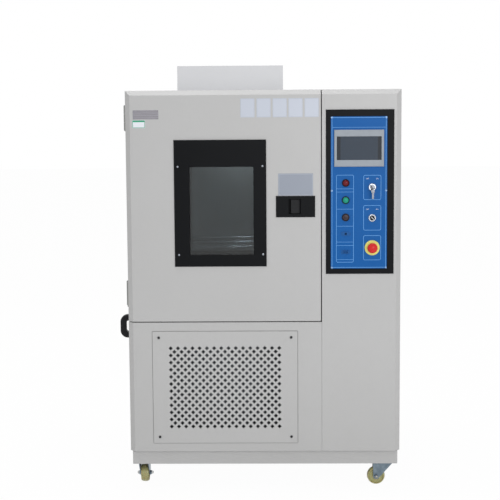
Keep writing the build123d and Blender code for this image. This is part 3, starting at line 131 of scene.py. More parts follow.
def makeFloor(settings):
    mesh = bpy.data.meshes.new("floor")
    reach = settings["floorReach"]
    corners = [(-reach, -reach, 0), (reach, -reach, 0), (reach, reach, 0), (-reach, reach, 0)]
    mesh.from_pydata(corners, [], [(0, 1, 2, 3)])
    floor = bpy.data.objects.new("floor", mesh)
    bpy.context.scene.collection.objects.link(floor)
    material = bpy.data.materials.new("paleFloor")
    material.use_nodes = True
    tree = material.node_tree
    tree.nodes.clear()
    matt = addNode(tree, "ShaderNodeBsdfPrincipled", {},
                   {"Base Color": settings["floorTint"], "Roughness": 0.8})
    glow = addNode(tree, "ShaderNodeEmission", {}, {"Color": (1, 1, 1, 1), "Strength": 1.0})
    lit = addNode(tree, "ShaderNodeMixShader", {},
                  {"Fac": settings["floorGlow"], 1: matt.outputs[0], 2: glow.outputs[0]})
    mixed = showWhite(tree, matt.outputs[0], lit.outputs[0])
    addNode(tree, "ShaderNodeOutputMaterial", {}, {"Surface": mixed.outputs[0]})
    mesh.materials.append(material)


makeCamera(studio)
makeSky(studio)
makeFloor(studio)
for name in ("topLight", "frontLight", "chamberLight"):
    makeAreaLight(name, studio[name])
bpy.context.scene.view_settings.view_transform = "Standard"
print("stage ready")


# Shader groups: each gives a colour, a roughness and a height
def startGroup(name, inputs):
    group = bpy.data.node_groups.new(name, "ShaderNodeTree")
    for label, kind, value in inputs:
        socket = group.interface.new_socket(label, in_out="INPUT", socket_type=kind)
        if value is not None:
            socket.default_value = value
    outputs = (("Color", "NodeSocketColor"), ("Roughness", "NodeSocketFloat"), ("Height", "NodeSocketFloat"))
    for label, kind in outputs:
        group.interface.new_socket(label, in_out="OUTPUT", socket_type=kind)
    return group, group.nodes.new("NodeGroupInput").outputs


def endGroup(group, colour, roughness, height):
    addNode(group, "NodeGroupOutput", {}, {"Color": colour, "Roughness": roughness, "Height": height})
    return group


def noiseIn(tree, vector, scale, detail=3.0, roughness=0.5):
    look = {"Vector": vector, "Scale": scale, "Detail": detail, "Roughness": roughness}
    return addNode(tree, "ShaderNodeTexNoise", {}, look).outputs["Fac"]


def spread(tree, value, low, high, toLow, toHigh):
    ends = {"Value": value, "From Min": low, "From Max": high, "To Min": toLow, "To Max": toHigh}
    return addNode(tree, "ShaderNodeMapRange", {}, ends).outputs[0]


def blendColour(tree, share, first, second):
    return addNode(tree, "ShaderNodeMix", {"data_type": "RGBA"}, {0: share, 6: first, 7: second}).outputs[2]


def wornBetween(group, given, share):
    ends = {0: share, 2: given["Smooth"], 3: given["Dull"]}
    return addNode(group, "ShaderNodeMix", {"data_type": "FLOAT"}, ends).outputs[0]


# Sprayed coat: cloudy tone with dust flecks, darker towards the bottom, and orange peel
def makeSprayedCoat():
    group, given = startGroup("sprayedCoat", [
        ("Vector", "NodeSocketVector", None), ("Paint", "NodeSocketColor", (0.5, 0.5, 0.5, 1)),
        ("Dust", "NodeSocketColor", (0.4, 0.38, 0.34, 1)), ("Cloud Scale", "NodeSocketFloat", 3.0),
        ("Peel Scale", "NodeSocketFloat", 420.0), ("Smooth", "NodeSocketFloat", 0.3),
        ("Dull", "NodeSocketFloat", 0.42)])
    cloud = noiseIn(group, given["Vector"], given["Cloud Scale"], 4.0, 0.55)
    fleck = noiseIn(group, given["Vector"], 60.0, 5.0, 0.65)
    peel = noiseIn(group, given["Vector"], given["Peel Scale"], 1.0, 0.4)
    place = addNode(group, "ShaderNodeSeparateXYZ", {}, {0: given["Vector"]})
    # Darker towards the bottom: a tenth of the way to the dust colour below 0.09 m, fading to none at 0.40 m
    low = spread(group, place.outputs[2], 0.09, 0.40, 0.10, 0.0)
    cloudAndLowTone = calculated(group, "MULTIPLY_ADD", spread(group, cloud, 0.35, 0.7, 0.0, 1.0), 0.085, low)
    fine = calculated(group, "MULTIPLY_ADD", spread(group, fleck, 0.45, 0.75, 0.0, 1.0), 0.035, cloudAndLowTone)
    colour = blendColour(group, fine, given["Paint"], given["Dust"])
    worn = wornBetween(group, given, spread(group, cloud, 0.3, 0.7, 0, 1))
    return endGroup(group, colour, worn, peel)


# Drawn metal: streaks along one direction, with a slow change of tone
def makeDrawnMetal():
    group, given = startGroup("drawnMetal", [
        ("Vector", "NodeSocketVector", None), ("Metal", "NodeSocketColor", (0.6, 0.6, 0.6, 1)),
        ("Shade", "NodeSocketColor", (0.4, 0.4, 0.4, 1)), ("Stretch", "NodeSocketVector", (6, 300, 300)),
        ("Smooth", "NodeSocketFloat", 0.22), ("Dull", "NodeSocketFloat", 0.4)])
    pulled = addNode(group, "ShaderNodeVectorMath", {"operation": "MULTIPLY"},
                     {0: given["Vector"], 1: given["Stretch"]}).outputs[0]
    streak = noiseIn(group, pulled, 1.0, 4.0, 0.6)
    cloud = noiseIn(group, given["Vector"], 9.0, 3.0, 0.5)
    both = calculated(group, "MULTIPLY", spread(group, streak, 0.3, 0.7, 0, 1),
                      spread(group, cloud, 0.2, 0.8, 0.35, 1))
    colour = blendColour(group, both, given["Metal"], given["Shade"])
    worn = wornBetween(group, given, both)
    return endGroup(group, colour, worn, streak)


# Moulded grain: fine pebbles in the surface and faint handling marks
def makeMouldedGrain():
    group, given = startGroup("mouldedGrain", [
        ("Vector", "NodeSocketVector", None), ("Base", "NodeSocketColor", (0.1, 0.1, 0.1, 1)),
        ("Rubbed", "NodeSocketColor", (0.2, 0.2, 0.2, 1)), ("Grain Scale", "NodeSocketFloat", 900.0),
        ("Smooth", "NodeSocketFloat", 0.35), ("Dull", "NodeSocketFloat", 0.55)])
    pebble = addNode(group, "ShaderNodeTexVoronoi", {"feature": "SMOOTH_F1"},
                     {"Vector": given["Vector"], "Scale": given["Grain Scale"]}).outputs["Distance"]
    hands = noiseIn(group, given["Vector"], 38.0, 5.0, 0.65)
    rubbed = spread(group, hands, 0.48, 0.8, 0, 0.5)
    colour = blendColour(group, rubbed, given["Base"], given["Rubbed"])
    worn = wornBetween(group, given, spread(group, hands, 0.3, 0.7, 0, 1))
    return endGroup(group, colour, worn, pebble)


shaderGroups = {
    "sprayedCoat": makeSprayedCoat(),
    "drawnMetal": makeDrawnMetal(),
    "mouldedGrain": makeMouldedGrain(),
}
print("shader groups ready")

# One entry for each finish: its group, the group's inputs, plain shader values, bump depth in metres
cabinetTone, dustTone = seen(184, 184, 184), seen(150, 149, 146)
finishes = {
    "cabinetPaint": (
        "sprayedCoat", {"Paint": cabinetTone, "Dust": dustTone},
        {"Specular IOR Level": 0.4}, 0.00004),
    "coverPaint": (
        "sprayedCoat", {"Paint": seen(216, 217, 220), "Dust": seen(190, 190, 190)},
        {"Specular IOR Level": 0.4}, 0.00004),
    "blackPaint": (
        "sprayedCoat", {"Paint": seen(9, 11, 14), "Dust": seen(36, 38, 42), "Smooth": 0.36, "Dull": 0.50},
        {"Specular IOR Level": 0.10}, 0.00004),
    "bluePlate": (
        "sprayedCoat",
        {"Paint": seen(8, 88, 160), "Dust": seen(40, 100, 154),
         "Smooth": 0.30, "Dull": 0.40},
        {"Specular IOR Level": 0.14}, 0.00002),
    "zinc": (
        "drawnMetal",
        {"Metal": seen(126, 140, 150), "Shade": seen(74, 86, 96), "Stretch": (60, 60, 60),
         "Smooth": 0.26, "Dull": 0.42},
        {"Metallic": 1.0}, 0.00003),
    "hingeSteel": (
        "drawnMetal",
        {"Metal": seen(148, 149, 147), "Shade": seen(112, 113, 112),
         "Stretch": (200, 200, 8)},
        {"Metallic": 0.85}, 0.00002),
    "stainless": (
        "drawnMetal",
        {"Metal": seen(190, 192, 192), "Shade": seen(168, 170, 171), "Stretch": (4, 4, 520),
         "Smooth": 0.30, "Dull": 0.40},
        {"Metallic": 0.9}, 0.000002),
    # Chamber liner and baffle: the same stainless steel painted darker, as painted shade inside the chamber
    "shadedLinerSteel": (
        "drawnMetal",
        {"Metal": seen(134, 138, 138), "Shade": seen(112, 116, 117), "Stretch": (4, 4, 520),
         "Smooth": 0.34, "Dull": 0.46},
        {"Metallic": 0.8}, 0.000002),
    "galvanised": (
        "drawnMetal",
        {"Metal": seen(178, 182, 186), "Shade": seen(132, 138, 144), "Stretch": (40, 40, 40),
         "Smooth": 0.35, "Dull": 0.55},
        {"Metallic": 0.9}, 0.00003),
    "chromePlate": (
        "drawnMetal",
        {"Metal": seen(178, 183, 190), "Shade": seen(104, 110, 120), "Stretch": (90, 90, 90),
         "Smooth": 0.12, "Dull": 0.26},
        {"Metallic": 1.0}, 0.00001),
    "brassNickel": (
        "drawnMetal", {"Metal": seen(206, 178, 112), "Shade": seen(150, 124, 72), "Stretch": (80, 80, 80)},
        {"Metallic": 1.0}, 0.00002),
    "casterTread": (
        "mouldedGrain",
        {"Base": seen(168, 164, 112), "Rubbed": seen(124, 112, 66), "Grain Scale": 500.0,
         "Smooth": 0.3, "Dull": 0.5},
        {"Coat Weight": 0.15, "Subsurface Weight": 0.12}, 0.00003),
    "foam": (
        "mouldedGrain",
        {"Base": seen(222, 208, 160), "Rubbed": seen(196, 180, 132), "Grain Scale": 240.0,
         "Smooth": 0.8, "Dull": 0.95},
        {}, 0.0006),
    "blackRubber": (
        "mouldedGrain",
        {"Base": seen(22, 22, 24), "Rubbed": seen(42, 42, 45), "Grain Scale": 700.0,
         "Smooth": 0.6, "Dull": 0.8},
        {"Specular IOR Level": 0.25}, 0.00008),
    "silicone": (
        "mouldedGrain",
        {"Base": seen(214, 212, 204), "Rubbed": seen(188, 184, 172), "Grain Scale": 600.0,
         "Smooth": 0.5, "Dull": 0.7},
        {}, 0.00005),
    "blackPlastic": (
        "mouldedGrain", {"Base": seen(18, 19, 22), "Rubbed": seen(44, 45, 49)},
        {"Specular IOR Level": 0.2}, 0.00006),
    "bezelPlastic": (
        "mouldedGrain", {"Base": seen(150, 157, 165), "Rubbed": seen(136, 142, 150), "Grain Scale": 1400.0},
        {"Specular IOR Level": 0.3}, 0.00003),
    "stopYellow": (
        "mouldedGrain",
        {"Base": seen(226, 220, 112), "Rubbed": seen(200, 190, 84),
         "Smooth": 0.25, "Dull": 0.4},
        {}, 0.00003),
    "stopRed": (
        "mouldedGrain",
        {"Base": seen(206, 34, 34), "Rubbed": seen(168, 22, 24),
         "Smooth": 0.22, "Dull": 0.36},
        {"Specular IOR Level": 0.3}, 0.00003),
    "redLens": (
        "mouldedGrain",
        {"Base": seen(104, 12, 26), "Rubbed": seen(70, 8, 18), "Grain Scale": 420.0,
         "Smooth": 0.12, "Dull": 0.25},
        {"Specular IOR Level": 0.2, "Coat Weight": 0.15}, 0.00012),
    "greenLens": (
        "mouldedGrain",
        {"Base": seen(20, 148, 124), "Rubbed": seen(12, 104, 92), "Grain Scale": 420.0,
         "Smooth": 0.12, "Dull": 0.25},
        {"Specular IOR Level": 0.2, "Coat Weight": 0.15}, 0.00012),
    "buzzerFace": ("mouldedGrain", {"Base": seen(52, 34, 44), "Rubbed": seen(96, 58, 50)}, {}, 0.00006),
    "machineBlack": (
        "sprayedCoat", {"Paint": seen(30, 31, 33), "Dust": seen(74, 72, 68), "Smooth": 0.35, "Dull": 0.5},
        {}, 0.00008),
    "paleLabel": (
        "sprayedCoat",
        {"Paint": seen(190, 196, 208), "Dust": seen(172, 177, 190),
         "Smooth": 0.25, "Dull": 0.35},
        {}, 0.00001),
    "greyLabel": (
        "sprayedCoat",
        {"Paint": seen(142, 149, 162), "Dust": seen(126, 132, 146),
         "Smooth": 0.25, "Dull": 0.35},
        {}, 0.00001),
    "dataLabel": (
        "drawnMetal",
        {"Metal": seen(150, 148, 154), "Shade": seen(126, 124, 132),
         "Stretch": (8, 300, 300)},
        {"Metallic": 0.4}, 0.00001),
    "greenPrint": ("sprayedCoat", {"Paint": seen(36, 156, 118), "Dust": seen(60, 150, 120)}, {}, 0.00001),
    "bluePrint": ("sprayedCoat", {"Paint": seen(104, 172, 234), "Dust": seen(92, 152, 214)}, {}, 0.00001),
    "whitePrint": ("sprayedCoat", {"Paint": seen(226, 230, 236), "Dust": seen(200, 204, 210)}, {}, 0.00001),
    "keyNickel": (
        "drawnMetal",
        {"Metal": seen(128, 131, 138), "Shade": seen(60, 63, 70), "Stretch": (140, 140, 140),
         "Smooth": 0.18, "Dull": 0.34},
        {"Metallic": 1.0}, 0.00003),
    "plateScrew": (
        "drawnMetal",
        {"Metal": seen(128, 160, 196), "Shade": seen(84, 116, 160), "Stretch": (90, 90, 90),
         "Smooth": 0.3, "Dull": 0.5},
        {"Metallic": 0.6}, 0.00001),
    # Grey painted as the shadow in the gaps round the grille plate and above the plinth
    "paintedSeamShadow": (
        "sprayedCoat", {"Paint": seen(126, 126, 125), "Dust": seen(110, 109, 106)},
        {"Specular IOR Level": 0.2}, 0.00001),
    "portFace": (
        "sprayedCoat", {"Paint": seen(20, 84, 148), "Dust": seen(54, 96, 140), "Smooth": 0.3, "Dull": 0.4},
        {"Specular IOR Level": 0.15}, 0.00001),
    "darkSteel": (
        "drawnMetal", {"Metal": seen(52, 54, 58), "Shade": seen(28, 29, 32), "Stretch": (90, 90, 90)},
        {"Metallic": 0.8}, 0.00002),
}
# Softened edges, metres
roundedFinishes = {"cabinetPaint": 0.0012, "coverPaint": 0.0012, "blackPaint": 0.0006}


def makeMaterial(name, groupName, given, plain, bump):
    material = bpy.data.materials.new(name)
    material.use_nodes = True
    tree = material.node_tree
    tree.nodes.clear()
    place = addNode(tree, "ShaderNodeTexCoord").outputs["Object"]
    look = addNode(tree, "ShaderNodeGroup", {"node_tree": shaderGroups[groupName]},
                   {"Vector": place, **given})
    relief = addNode(tree, "ShaderNodeBump", {},
                     {"Height": look.outputs["Height"], "Distance": bump, "Strength": 1.0})
    if name in roundedFinishes:
        soft = addNode(tree, "ShaderNodeBevel", {"samples": 4}, {"Radius": roundedFinishes[name]})
        tree.links.new(soft.outputs[0], relief.inputs["Normal"])
    shader = addNode(tree, "ShaderNodeBsdfPrincipled", {}, {
        "Base Color": look.outputs["Color"], "Roughness": look.outputs["Roughness"],
        "Normal": relief.outputs[0], **plain})
    addNode(tree, "ShaderNodeOutputMaterial", {}, {"Surface": shader.outputs[0]})
    return material


materials = {name: makeMaterial(name, *parts) for name, parts in finishes.items()}
print("finishes ready:", len(materials))


# Mesh making: each piece is computed in its own u, v and outward w, then laid on one side of the cabinet
sideAxes = {
    "front": ((1, 0, 0), (0, 0, 1), (0, -1, 0)),
    "left": ((0, -1, 0), (0, 0, 1), (-1, 0, 0)),
    "right": ((0, 1, 0), (0, 0, 1), (1, 0, 0)),
    "rear": ((-1, 0, 0), (0, 0, 1), (0, 1, 0)),
    "top": ((1, 0, 0), (0, 1, 0), (0, 0, 1)),
}


def laidOn(side, centre, points):
    return np.asarray(centre, float) + np.asarray(points, float) @ np.array(sideAxes[side], float)


# Rings of points (levels, around, 3) closed with a pole at each end: quads between rings, a fan on each pole
def capped(rings):
    levels, around = rings.shape[:2]
    points = np.concatenate([rings.reshape(-1, 3), rings[0].mean(0)[None], rings[-1].mean(0)[None]])
    level, step = np.meshgrid(np.arange(levels - 1), np.arange(around), indexing="ij")
    following = (step + 1) % around
    quads = np.stack([level * around + step, level * around + following,
                      (level + 1) * around + following, (level + 1) * around + step], -1).reshape(-1, 4)
    ends = np.arange(around)
    after = (ends + 1) % around
    last = (levels - 1) * around
    low = np.stack([np.full(around, levels * around), after, ends], -1)
    high = np.stack([np.full(around, levels * around + 1), last + ends, last + after], -1)
    return points, [quads, low, high]


# Rings (along, around, 3) closed both ways, as a tube whose path meets itself
def looped(rings):
    along, around = rings.shape[:2]
    first, second = np.meshgrid(np.arange(along), np.arange(around), indexing="ij")
    nextFirst, nextSecond = (first + 1) % along, (second + 1) % around
    quads = np.stack([first * around + second, nextFirst * around + second,
                      nextFirst * around + nextSecond, first * around + nextSecond], -1).reshape(-1, 4)
    return rings.reshape(-1, 3), [quads]


# Two grids of the same size, back and front, stitched along their borders into a closed sheet
def stitched(back, front):
    rows, columns = back.shape[:2]
    count = rows * columns
    row, column = np.meshgrid(np.arange(rows - 1), np.arange(columns - 1), indexing="ij")
    corner = (row * columns + column).ravel()
    sheet = np.stack([corner, corner + 1, corner + columns + 1, corner + columns], -1)
    border = np.concatenate([np.arange(columns - 1), np.arange(rows - 1) * columns + columns - 1,
                             (rows - 1) * columns + np.arange(columns - 1, 0, -1),
                             np.arange(rows - 1, 0, -1) * columns])
    after = np.roll(border, -1)
    edge = np.stack([border, border + count, after + count, after], -1)
    points = np.concatenate([back.reshape(-1, 3), front.reshape(-1, 3)])
    return points, [sheet, sheet[:, ::-1] + count, edge]


# Joins several (points, faces) into one
def gathered(parts):
    points, faces, start = [], [], 0
    for some, lists in parts:
        points.append(some)
        faces += [block + start for block in lists]
        start += len(some)
    return np.concatenate(points), faces


# Faces look outward when the volume that they enclose is positive
def facedOutward(points, faces):
    volume = 0.0
    for block in faces:
        corners = points[block]
        for step in range(1, block.shape[1] - 1):
            volume += np.einsum("ij,ij->", corners[:, 0], np.cross(corners[:, step], corners[:, step + 1]))
    return faces if volume > 0 else [block[:, ::-1] for block in faces]


def addPiece(name, geometry, material, body, side=None, centre=(0, 0, 0), smooth=35):
    points, faces = geometry
    if side is not None:
        points = laidOn(side, centre, points)
    faces = facedOutward(points - points.mean(0), faces)
    mesh = bpy.data.meshes.new(name)
    mesh.from_pydata(points.tolist(), [], [face for block in faces for face in block.tolist()])
    mesh.validate()
    mesh.shade_smooth()
    mesh.set_sharp_from_angle(angle=math.radians(smooth))
    mesh.materials.append(materials[material])
    piece = bpy.data.objects.new(name, mesh)
    bpy.context.scene.collection.objects.link(piece)
    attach(piece, body)


# Outline of a rounded rectangle: four quarter circles about the corners of an inner rectangle
def roundedOutline(width, height, corner, steps=6):
    angle = np.linspace(0, math.pi / 2, steps)
    quarter = [angle + turn * math.pi / 2 for turn in range(4)]
    signs = [(1, 1), (-1, 1), (-1, -1), (1, -1)]
    return np.concatenate([
        np.stack([signX * (width / 2 - corner) + corner * np.cos(arc),
                  signY * (height / 2 - corner) + corner * np.sin(arc)], -1)
        for arc, (signX, signY) in zip(quarter, signs)])


# Plate: one outline drawn in by a few insets at rising heights, so that its rim is bevelled
def platePoints(width, height, corner, thick, rim=0.0):
    rings = []
    for inset, level in ((0, 0), (0, thick - rim), (rim, thick)):
        outline = roundedOutline(width - 2 * inset, height - 2 * inset, max(corner - inset, corner * 0.2))
        rings.append(np.concatenate([outline, np.full((len(outline), 1), level)], -1))
    return capped(np.array(rings))


# Flat line round an outline: a rectangular section carried along it
def linePoints(width, height, corner, line, thick):
    section = ((line / 2, 0), (line / 2, thick), (-line / 2, thick), (-line / 2, 0))
    rings = []
    for out, level in section:
        outline = roundedOutline(width + 2 * out, height + 2 * out, corner + out)
        rings.append(np.concatenate([outline, np.full((len(outline), 1), level)], -1))
    return looped(np.array(rings).transpose(1, 0, 2))


# Turned form: a profile of radius and height carried round the axis
def turnedPoints(profile, around=48):
    angle = np.arange(around) / around * 2 * math.pi
    rings = [np.stack([radius * np.cos(angle), radius * np.sin(angle), np.full(around, level)], -1)
             for radius, level in profile]
    return capped(np.array(rings))


# Ring: a round or flattened section carried round a circle
def ringPoints(radius, section, flat=1.0, around=64, about=16):
    turn = np.arange(around)[:, None] / around * 2 * math.pi
    bend = np.arange(about)[None, :] / about * 2 * math.pi
    reach = radius + section * np.cos(bend) + 0 * turn
    height = flat * section * np.sin(bend) + 0 * turn
    grid = np.stack([reach * np.cos(turn), reach * np.sin(turn), height], -1)
    return looped(grid[:, ::-1])


# Screw head: a shallow dome whose crossed arms sink by a smooth step of the distance from each arm
def screwPoints(radius, rise, slot, depth, arms=2, around=48, turn=0.4):
    angle = np.arange(around) / around * 2 * math.pi
    rings = []
    for share in (1.0, 1.0, 0.94, 0.8, 0.62, 0.5, 0.4, 0.28, 0.14):
        x, y = radius * share * np.cos(angle - turn), radius * share * np.sin(angle - turn)
        dome = rise * math.sqrt(max(0.0, 1 - (0.86 * share) ** 2))
        across = np.minimum(np.abs(x), np.abs(y)) if arms == 2 else np.abs(y)
        sunk = np.clip(1.6 - across / slot, 0, 1) * np.clip((0.66 - share) / 0.08, 0, 1)
        rings.append(np.stack([radius * share * np.cos(angle), radius * share * np.sin(angle),
                               dome - depth * sunk], -1))
    rings[0][:, 2] = 0
    return capped(np.array(rings))


def moved(geometry, *offsets):
    points, faces = geometry
    return gathered([(points + np.asarray(offset, float), faces) for offset in offsets])


# Door: window screws, bare plates and the sticker
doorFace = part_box("door_shell")[0].y
doorTrim = {
    "screwsAt": ((-0.2725, 1.145), (0.0195, 1.146), (-0.271, 0.840), (0.0205, 0.841)),
    "screw": (0.0033, 0.0018, 0.00055, 0.0012),  # radius, rise, width and depth of the cross
    "thick": 0.0004, "rim": 0.0001,
    "platesAt": (-0.0307, 0.02475, 0.07975, 0.1340, 0.1892), "plateZ": 1.3445,
    "plateSize": (0.0485, 0.0645), "plateCorner": 0.002,
    "plateInset": 0.003, "plateLine": (0.0012, 0.0004, 0.0001),  # lines: corner, width, thickness
    "noticeAt": (0.1335, 1.0815), "noticeSize": (0.120, 0.0765), "noticeCorner": 0.0015,
    "noticeInset": 0.005, "noticeLine": (0.001, 0.0007, 0.0001),
    "dataAt": (-0.3805, 1.3235), "dataSize": (0.088, 0.031), "dataCorner": 0.0015, "dataThick": 0.0006,
    "rivetsAt": (-0.0415, 0.0415), "rivet": ((0.0011, 0), (0.0011, 0.0003), (0.0007, 0.0007)),
    "stickerAt": (-0.4045, 1.2915), "stickerSize": (0.044, 0.027), "stickerThick": 0.0003,
    "stickerInset": 0.003, "stickerLine": (0.0012, 0.0016, 0.0001),
    "bandInset": 0.004, "bandHeight": 0.0045, "bandDrop": 0.0042,
}


# A piece lies on the door's face at a place across and up, or a little ahead of the face
def onDoor(name, geometry, material, at=(0, 0), ahead=0.0):
    addPiece(name, geometry, material, "door", "front", (at[0], doorFace - ahead, at[1]))


def dressDoor(trim):
    thick, rim = trim["thick"], trim["rim"]
    screws = moved(screwPoints(*trim["screw"]), *[(x, z, 0) for x, z in trim["screwsAt"]])
    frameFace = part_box("window_frame")[0].y
    addPiece("windowScrews", screws, "chromePlate", "door", "front", (0, frameFace, 0))

    width, height = trim["plateSize"]
    inset = trim["plateInset"]
    places = [(x, trim["plateZ"], 0) for x in trim["platesAt"]]
    plates = moved(platePoints(width, height, trim["plateCorner"], thick, rim), *places)
    onDoor("doorPlates", plates, "paleLabel")
    rims = moved(linePoints(width - inset, height - inset, *trim["plateLine"]), *places)
    onDoor("doorPlateLines", rims, "greyLabel", ahead=thick)

    width, height = trim["noticeSize"]
    inset = trim["noticeInset"]
    notice = platePoints(width, height, trim["noticeCorner"], thick, rim)
    onDoor("noticePlate", notice, "greyLabel", trim["noticeAt"])
    edge = linePoints(width - inset, height - inset, *trim["noticeLine"])
    onDoor("noticeLine", edge, "paleLabel", trim["noticeAt"], thick)

    plate = platePoints(*trim["dataSize"], trim["dataCorner"], trim["dataThick"], 2 * rim)
    onDoor("dataPlate", plate, "dataLabel", trim["dataAt"])
    rivets = moved(turnedPoints(trim["rivet"], 20), *[(x, 0, 0) for x in trim["rivetsAt"]])
    onDoor("dataPlateRivets", rivets, "chromePlate", trim["dataAt"], trim["dataThick"])

    width, height = trim["stickerSize"]
    inset = trim["stickerInset"]
    sticker = platePoints(width, height, 0.001, trim["stickerThick"], rim)
    onDoor("doorSticker", sticker, "whitePrint", trim["stickerAt"])
    border = linePoints(width - inset, height - inset, *trim["stickerLine"])
    band = platePoints(width - trim["bandInset"], trim["bandHeight"], 0.0004, rim, 0.3 * rim)
    band = moved(band, (0, height / 2 - trim["bandDrop"], 0))
    onDoor("doorStickerBorder", gathered([border, band]), "greenPrint", trim["stickerAt"],
           trim["stickerThick"])


dressDoor(doorTrim)
print("door dressed")


# Control panel: printed lines, lamp rims, screen glass, ON and OFF, key ring
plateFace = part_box("control_plate")[0].y
panelTrim = {
    "border": (0.3510, 1.0517, 0.1850, 0.5155),  # centre x, z, width, height
    "header": (0.3510, 1.2762, 0.1820, 0.0009),
    "leftBox": (0.3030, 0.9625, 0.0590, 0.3010),
    "dividers": (1.0660, 1.0550, 0.9960, 0.9370, 0.8820, 0.8700, 0.8210),
    "rightBoxes": ((0.3968, 1.0702, 0.0594, 0.0835), (0.3968, 0.9655, 0.0594, 0.0850),
                   (0.3968, 0.8618, 0.0594, 0.0845)),
    "line": 0.0012, "thick": 0.00012, "corner": 0.005,
    "lampsAt": (1.08595, 1.02695, 0.96745), "lampX": 0.3055,
    "rim": (0.0118, 0.0015, 1.3), "rimAhead": 0.0026,  # lamp rims: radius, section, how far it is drawn out
    "slot": (0.0009, 0.0085), "slotPitch": 0.0022,
    "screen": (0.3510, 1.20495, 0.1530, 0.0805), "screenAhead": 0.0015, "screenEnds": (0.0625, 0.0650),
    "words": (("OFF", 0.3805, 1.0985), ("ON", 0.4130, 1.0985),
              ("OFF", 0.3805, 0.9935), ("ON", 0.4130, 0.9935)),
    "wordHeight": 0.0052, "wordThick": 0.00006,
}


def printPanel(trim):
    line, thick = trim["line"], trim["thick"]
    parts = []
    for x, z, width, height in (trim["border"], trim["leftBox"], *trim["rightBoxes"]):
        corner = 0.003 if (x, z) == trim["border"][:2] else trim["corner"]
        parts.append(moved(linePoints(width, height, corner, line, thick), (x, z, 0)))
    boxX, _, boxWidth, _ = trim["leftBox"]
    for z in trim["dividers"]:
        divider = platePoints(boxWidth - line, line * 0.8, line * 0.2, thick, thick * 0.2)
        parts.append(moved(divider, (boxX, z, 0)))
    x, z, width, height = trim["header"]
    parts.append(moved(platePoints(width, height, height * 0.25, thick, thick * 0.2), (x, z, 0)))
    addPiece("panelPrint", gathered(parts), "bluePrint", "cabinet", "front", (0, plateFace, 0))


def ringLamps(trim):
    rims = moved(ringPoints(*trim["rim"]), *[(trim["lampX"], z, trim["rimAhead"]) for z in trim["lampsAt"]])
    addPiece("lampRims", rims, "blackPlastic", "cabinet", "front", (0, plateFace, 0))
    width, height = trim["slot"]
    slots = []
    for step in (-2, -1, 0, 1, 2):
        slot = platePoints(width, height - width * abs(step), 0.0004, 0.0003, 0.0001)
        slots.append(moved(slot, (trim["lampX"] + step * trim["slotPitch"], trim["lampsAt"][2], 0)))
    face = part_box("alarm_buzzer")[0].y + 0.0002
    addPiece("buzzerSlots", gathered(slots), "blackRubber", "cabinet", "front", (0, face, 0))


def glazeScreen(trim):
    x, z, width, height = trim["screen"]
    glass = platePoints(width, height, 0.001, 0.0006, 0.0001)
    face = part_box("touch_screen")[0].y + trim["screenAhead"]
    addPiece("screenGlass", glass, "screenGlass", "cabinet", "front", (x, face, z))


# Text becomes a mesh lying on the blue plate
def printWords(trim):
    parts = []
    for word, x, z in trim["words"]:
        curve = bpy.data.curves.new("word", "FONT")
        curve.body, curve.size, curve.align_x = word, trim["wordHeight"], "CENTER"
        curve.extrude = trim["wordThick"]
        holder = bpy.data.objects.new("word", curve)
        bpy.context.scene.collection.objects.link(holder)
        bpy.context.view_layer.update()
        view = bpy.context.evaluated_depsgraph_get()
        flat = bpy.data.meshes.new_from_object(holder.evaluated_get(view))
        points = np.zeros(len(flat.vertices) * 3)
        flat.vertices.foreach_get("co", points)
        faces = [np.array([list(face.vertices)]) for face in flat.polygons]
        parts.append((points.reshape(-1, 3) + np.array([x, z, trim["wordThick"]]), faces))
        bpy.data.objects.remove(holder)
        bpy.data.meshes.remove(flat)
    addPiece("panelWords", gathered(parts), "whitePrint", "cabinet", "front", (0, plateFace, 0))


# The place across of every shaded point, in metres
def acrossIn(tree):
    place = addNode(tree, "ShaderNodeTexCoord").outputs["Object"]
    return addNode(tree, "ShaderNodeSeparateXYZ", {}, {0: place}).outputs[0]


# The shader of a finished material and what gives its colour
def paintedBy(material):
    shader = next(node for node in material.node_tree.nodes if node.type == "BSDF_PRINCIPLED")
    return shader, shader.inputs["Base Color"].links[0].from_socket


# Screen glass: dark blue grey between two darker ends, told apart by the place across
def makeScreenGlass(trim):
    grain = {"Base": seen(38, 51, 66), "Rubbed": seen(44, 58, 73), "Grain Scale": 2600.0,
             "Smooth": 0.08, "Dull": 0.14}
    plain = {"Specular IOR Level": 0.12, "Coat Weight": 0.05}
    material = makeMaterial("screenGlass", "mouldedGrain", grain, plain, 0.000002)
    tree = material.node_tree
    shader, colour = paintedBy(material)
    away = calculated(tree, "ABSOLUTE", calculated(tree, "SUBTRACT", acrossIn(tree), trim["screen"][0]))
    atEnds = spread(tree, away, *trim["screenEnds"], 0, 1)
    tree.links.new(blendColour(tree, atEnds, colour, seen(18, 26, 36)), shader.inputs["Base Color"])
    return material


materials["screenGlass"] = makeScreenGlass(panelTrim)
printPanel(panelTrim)
ringLamps(panelTrim)
glazeScreen(panelTrim)
printWords(panelTrim)
print("control panel printed")


# Key ring through the hole in the key's bow, with a second key hanging on it
keyTrim = {
    "x": 0.3970, "z": 1.07095, "holeBehindFront": 0.006,
    "ringRadius": 0.0050, "wire": 0.0008, "ringLift": 0.0016,
    "bow": (0.0115, 0.0125), "blade": (0.0066, 0.0200), "bladeDown": 0.0155, "thick": 0.0022,
    "nick": (0.0012, 0.0016), "nickAt": (0.0035, -0.012), "nickPitch": 0.0035, "nicks": 4,
    "keyDown": 0.0035, "keyBack": 0.0011,
}


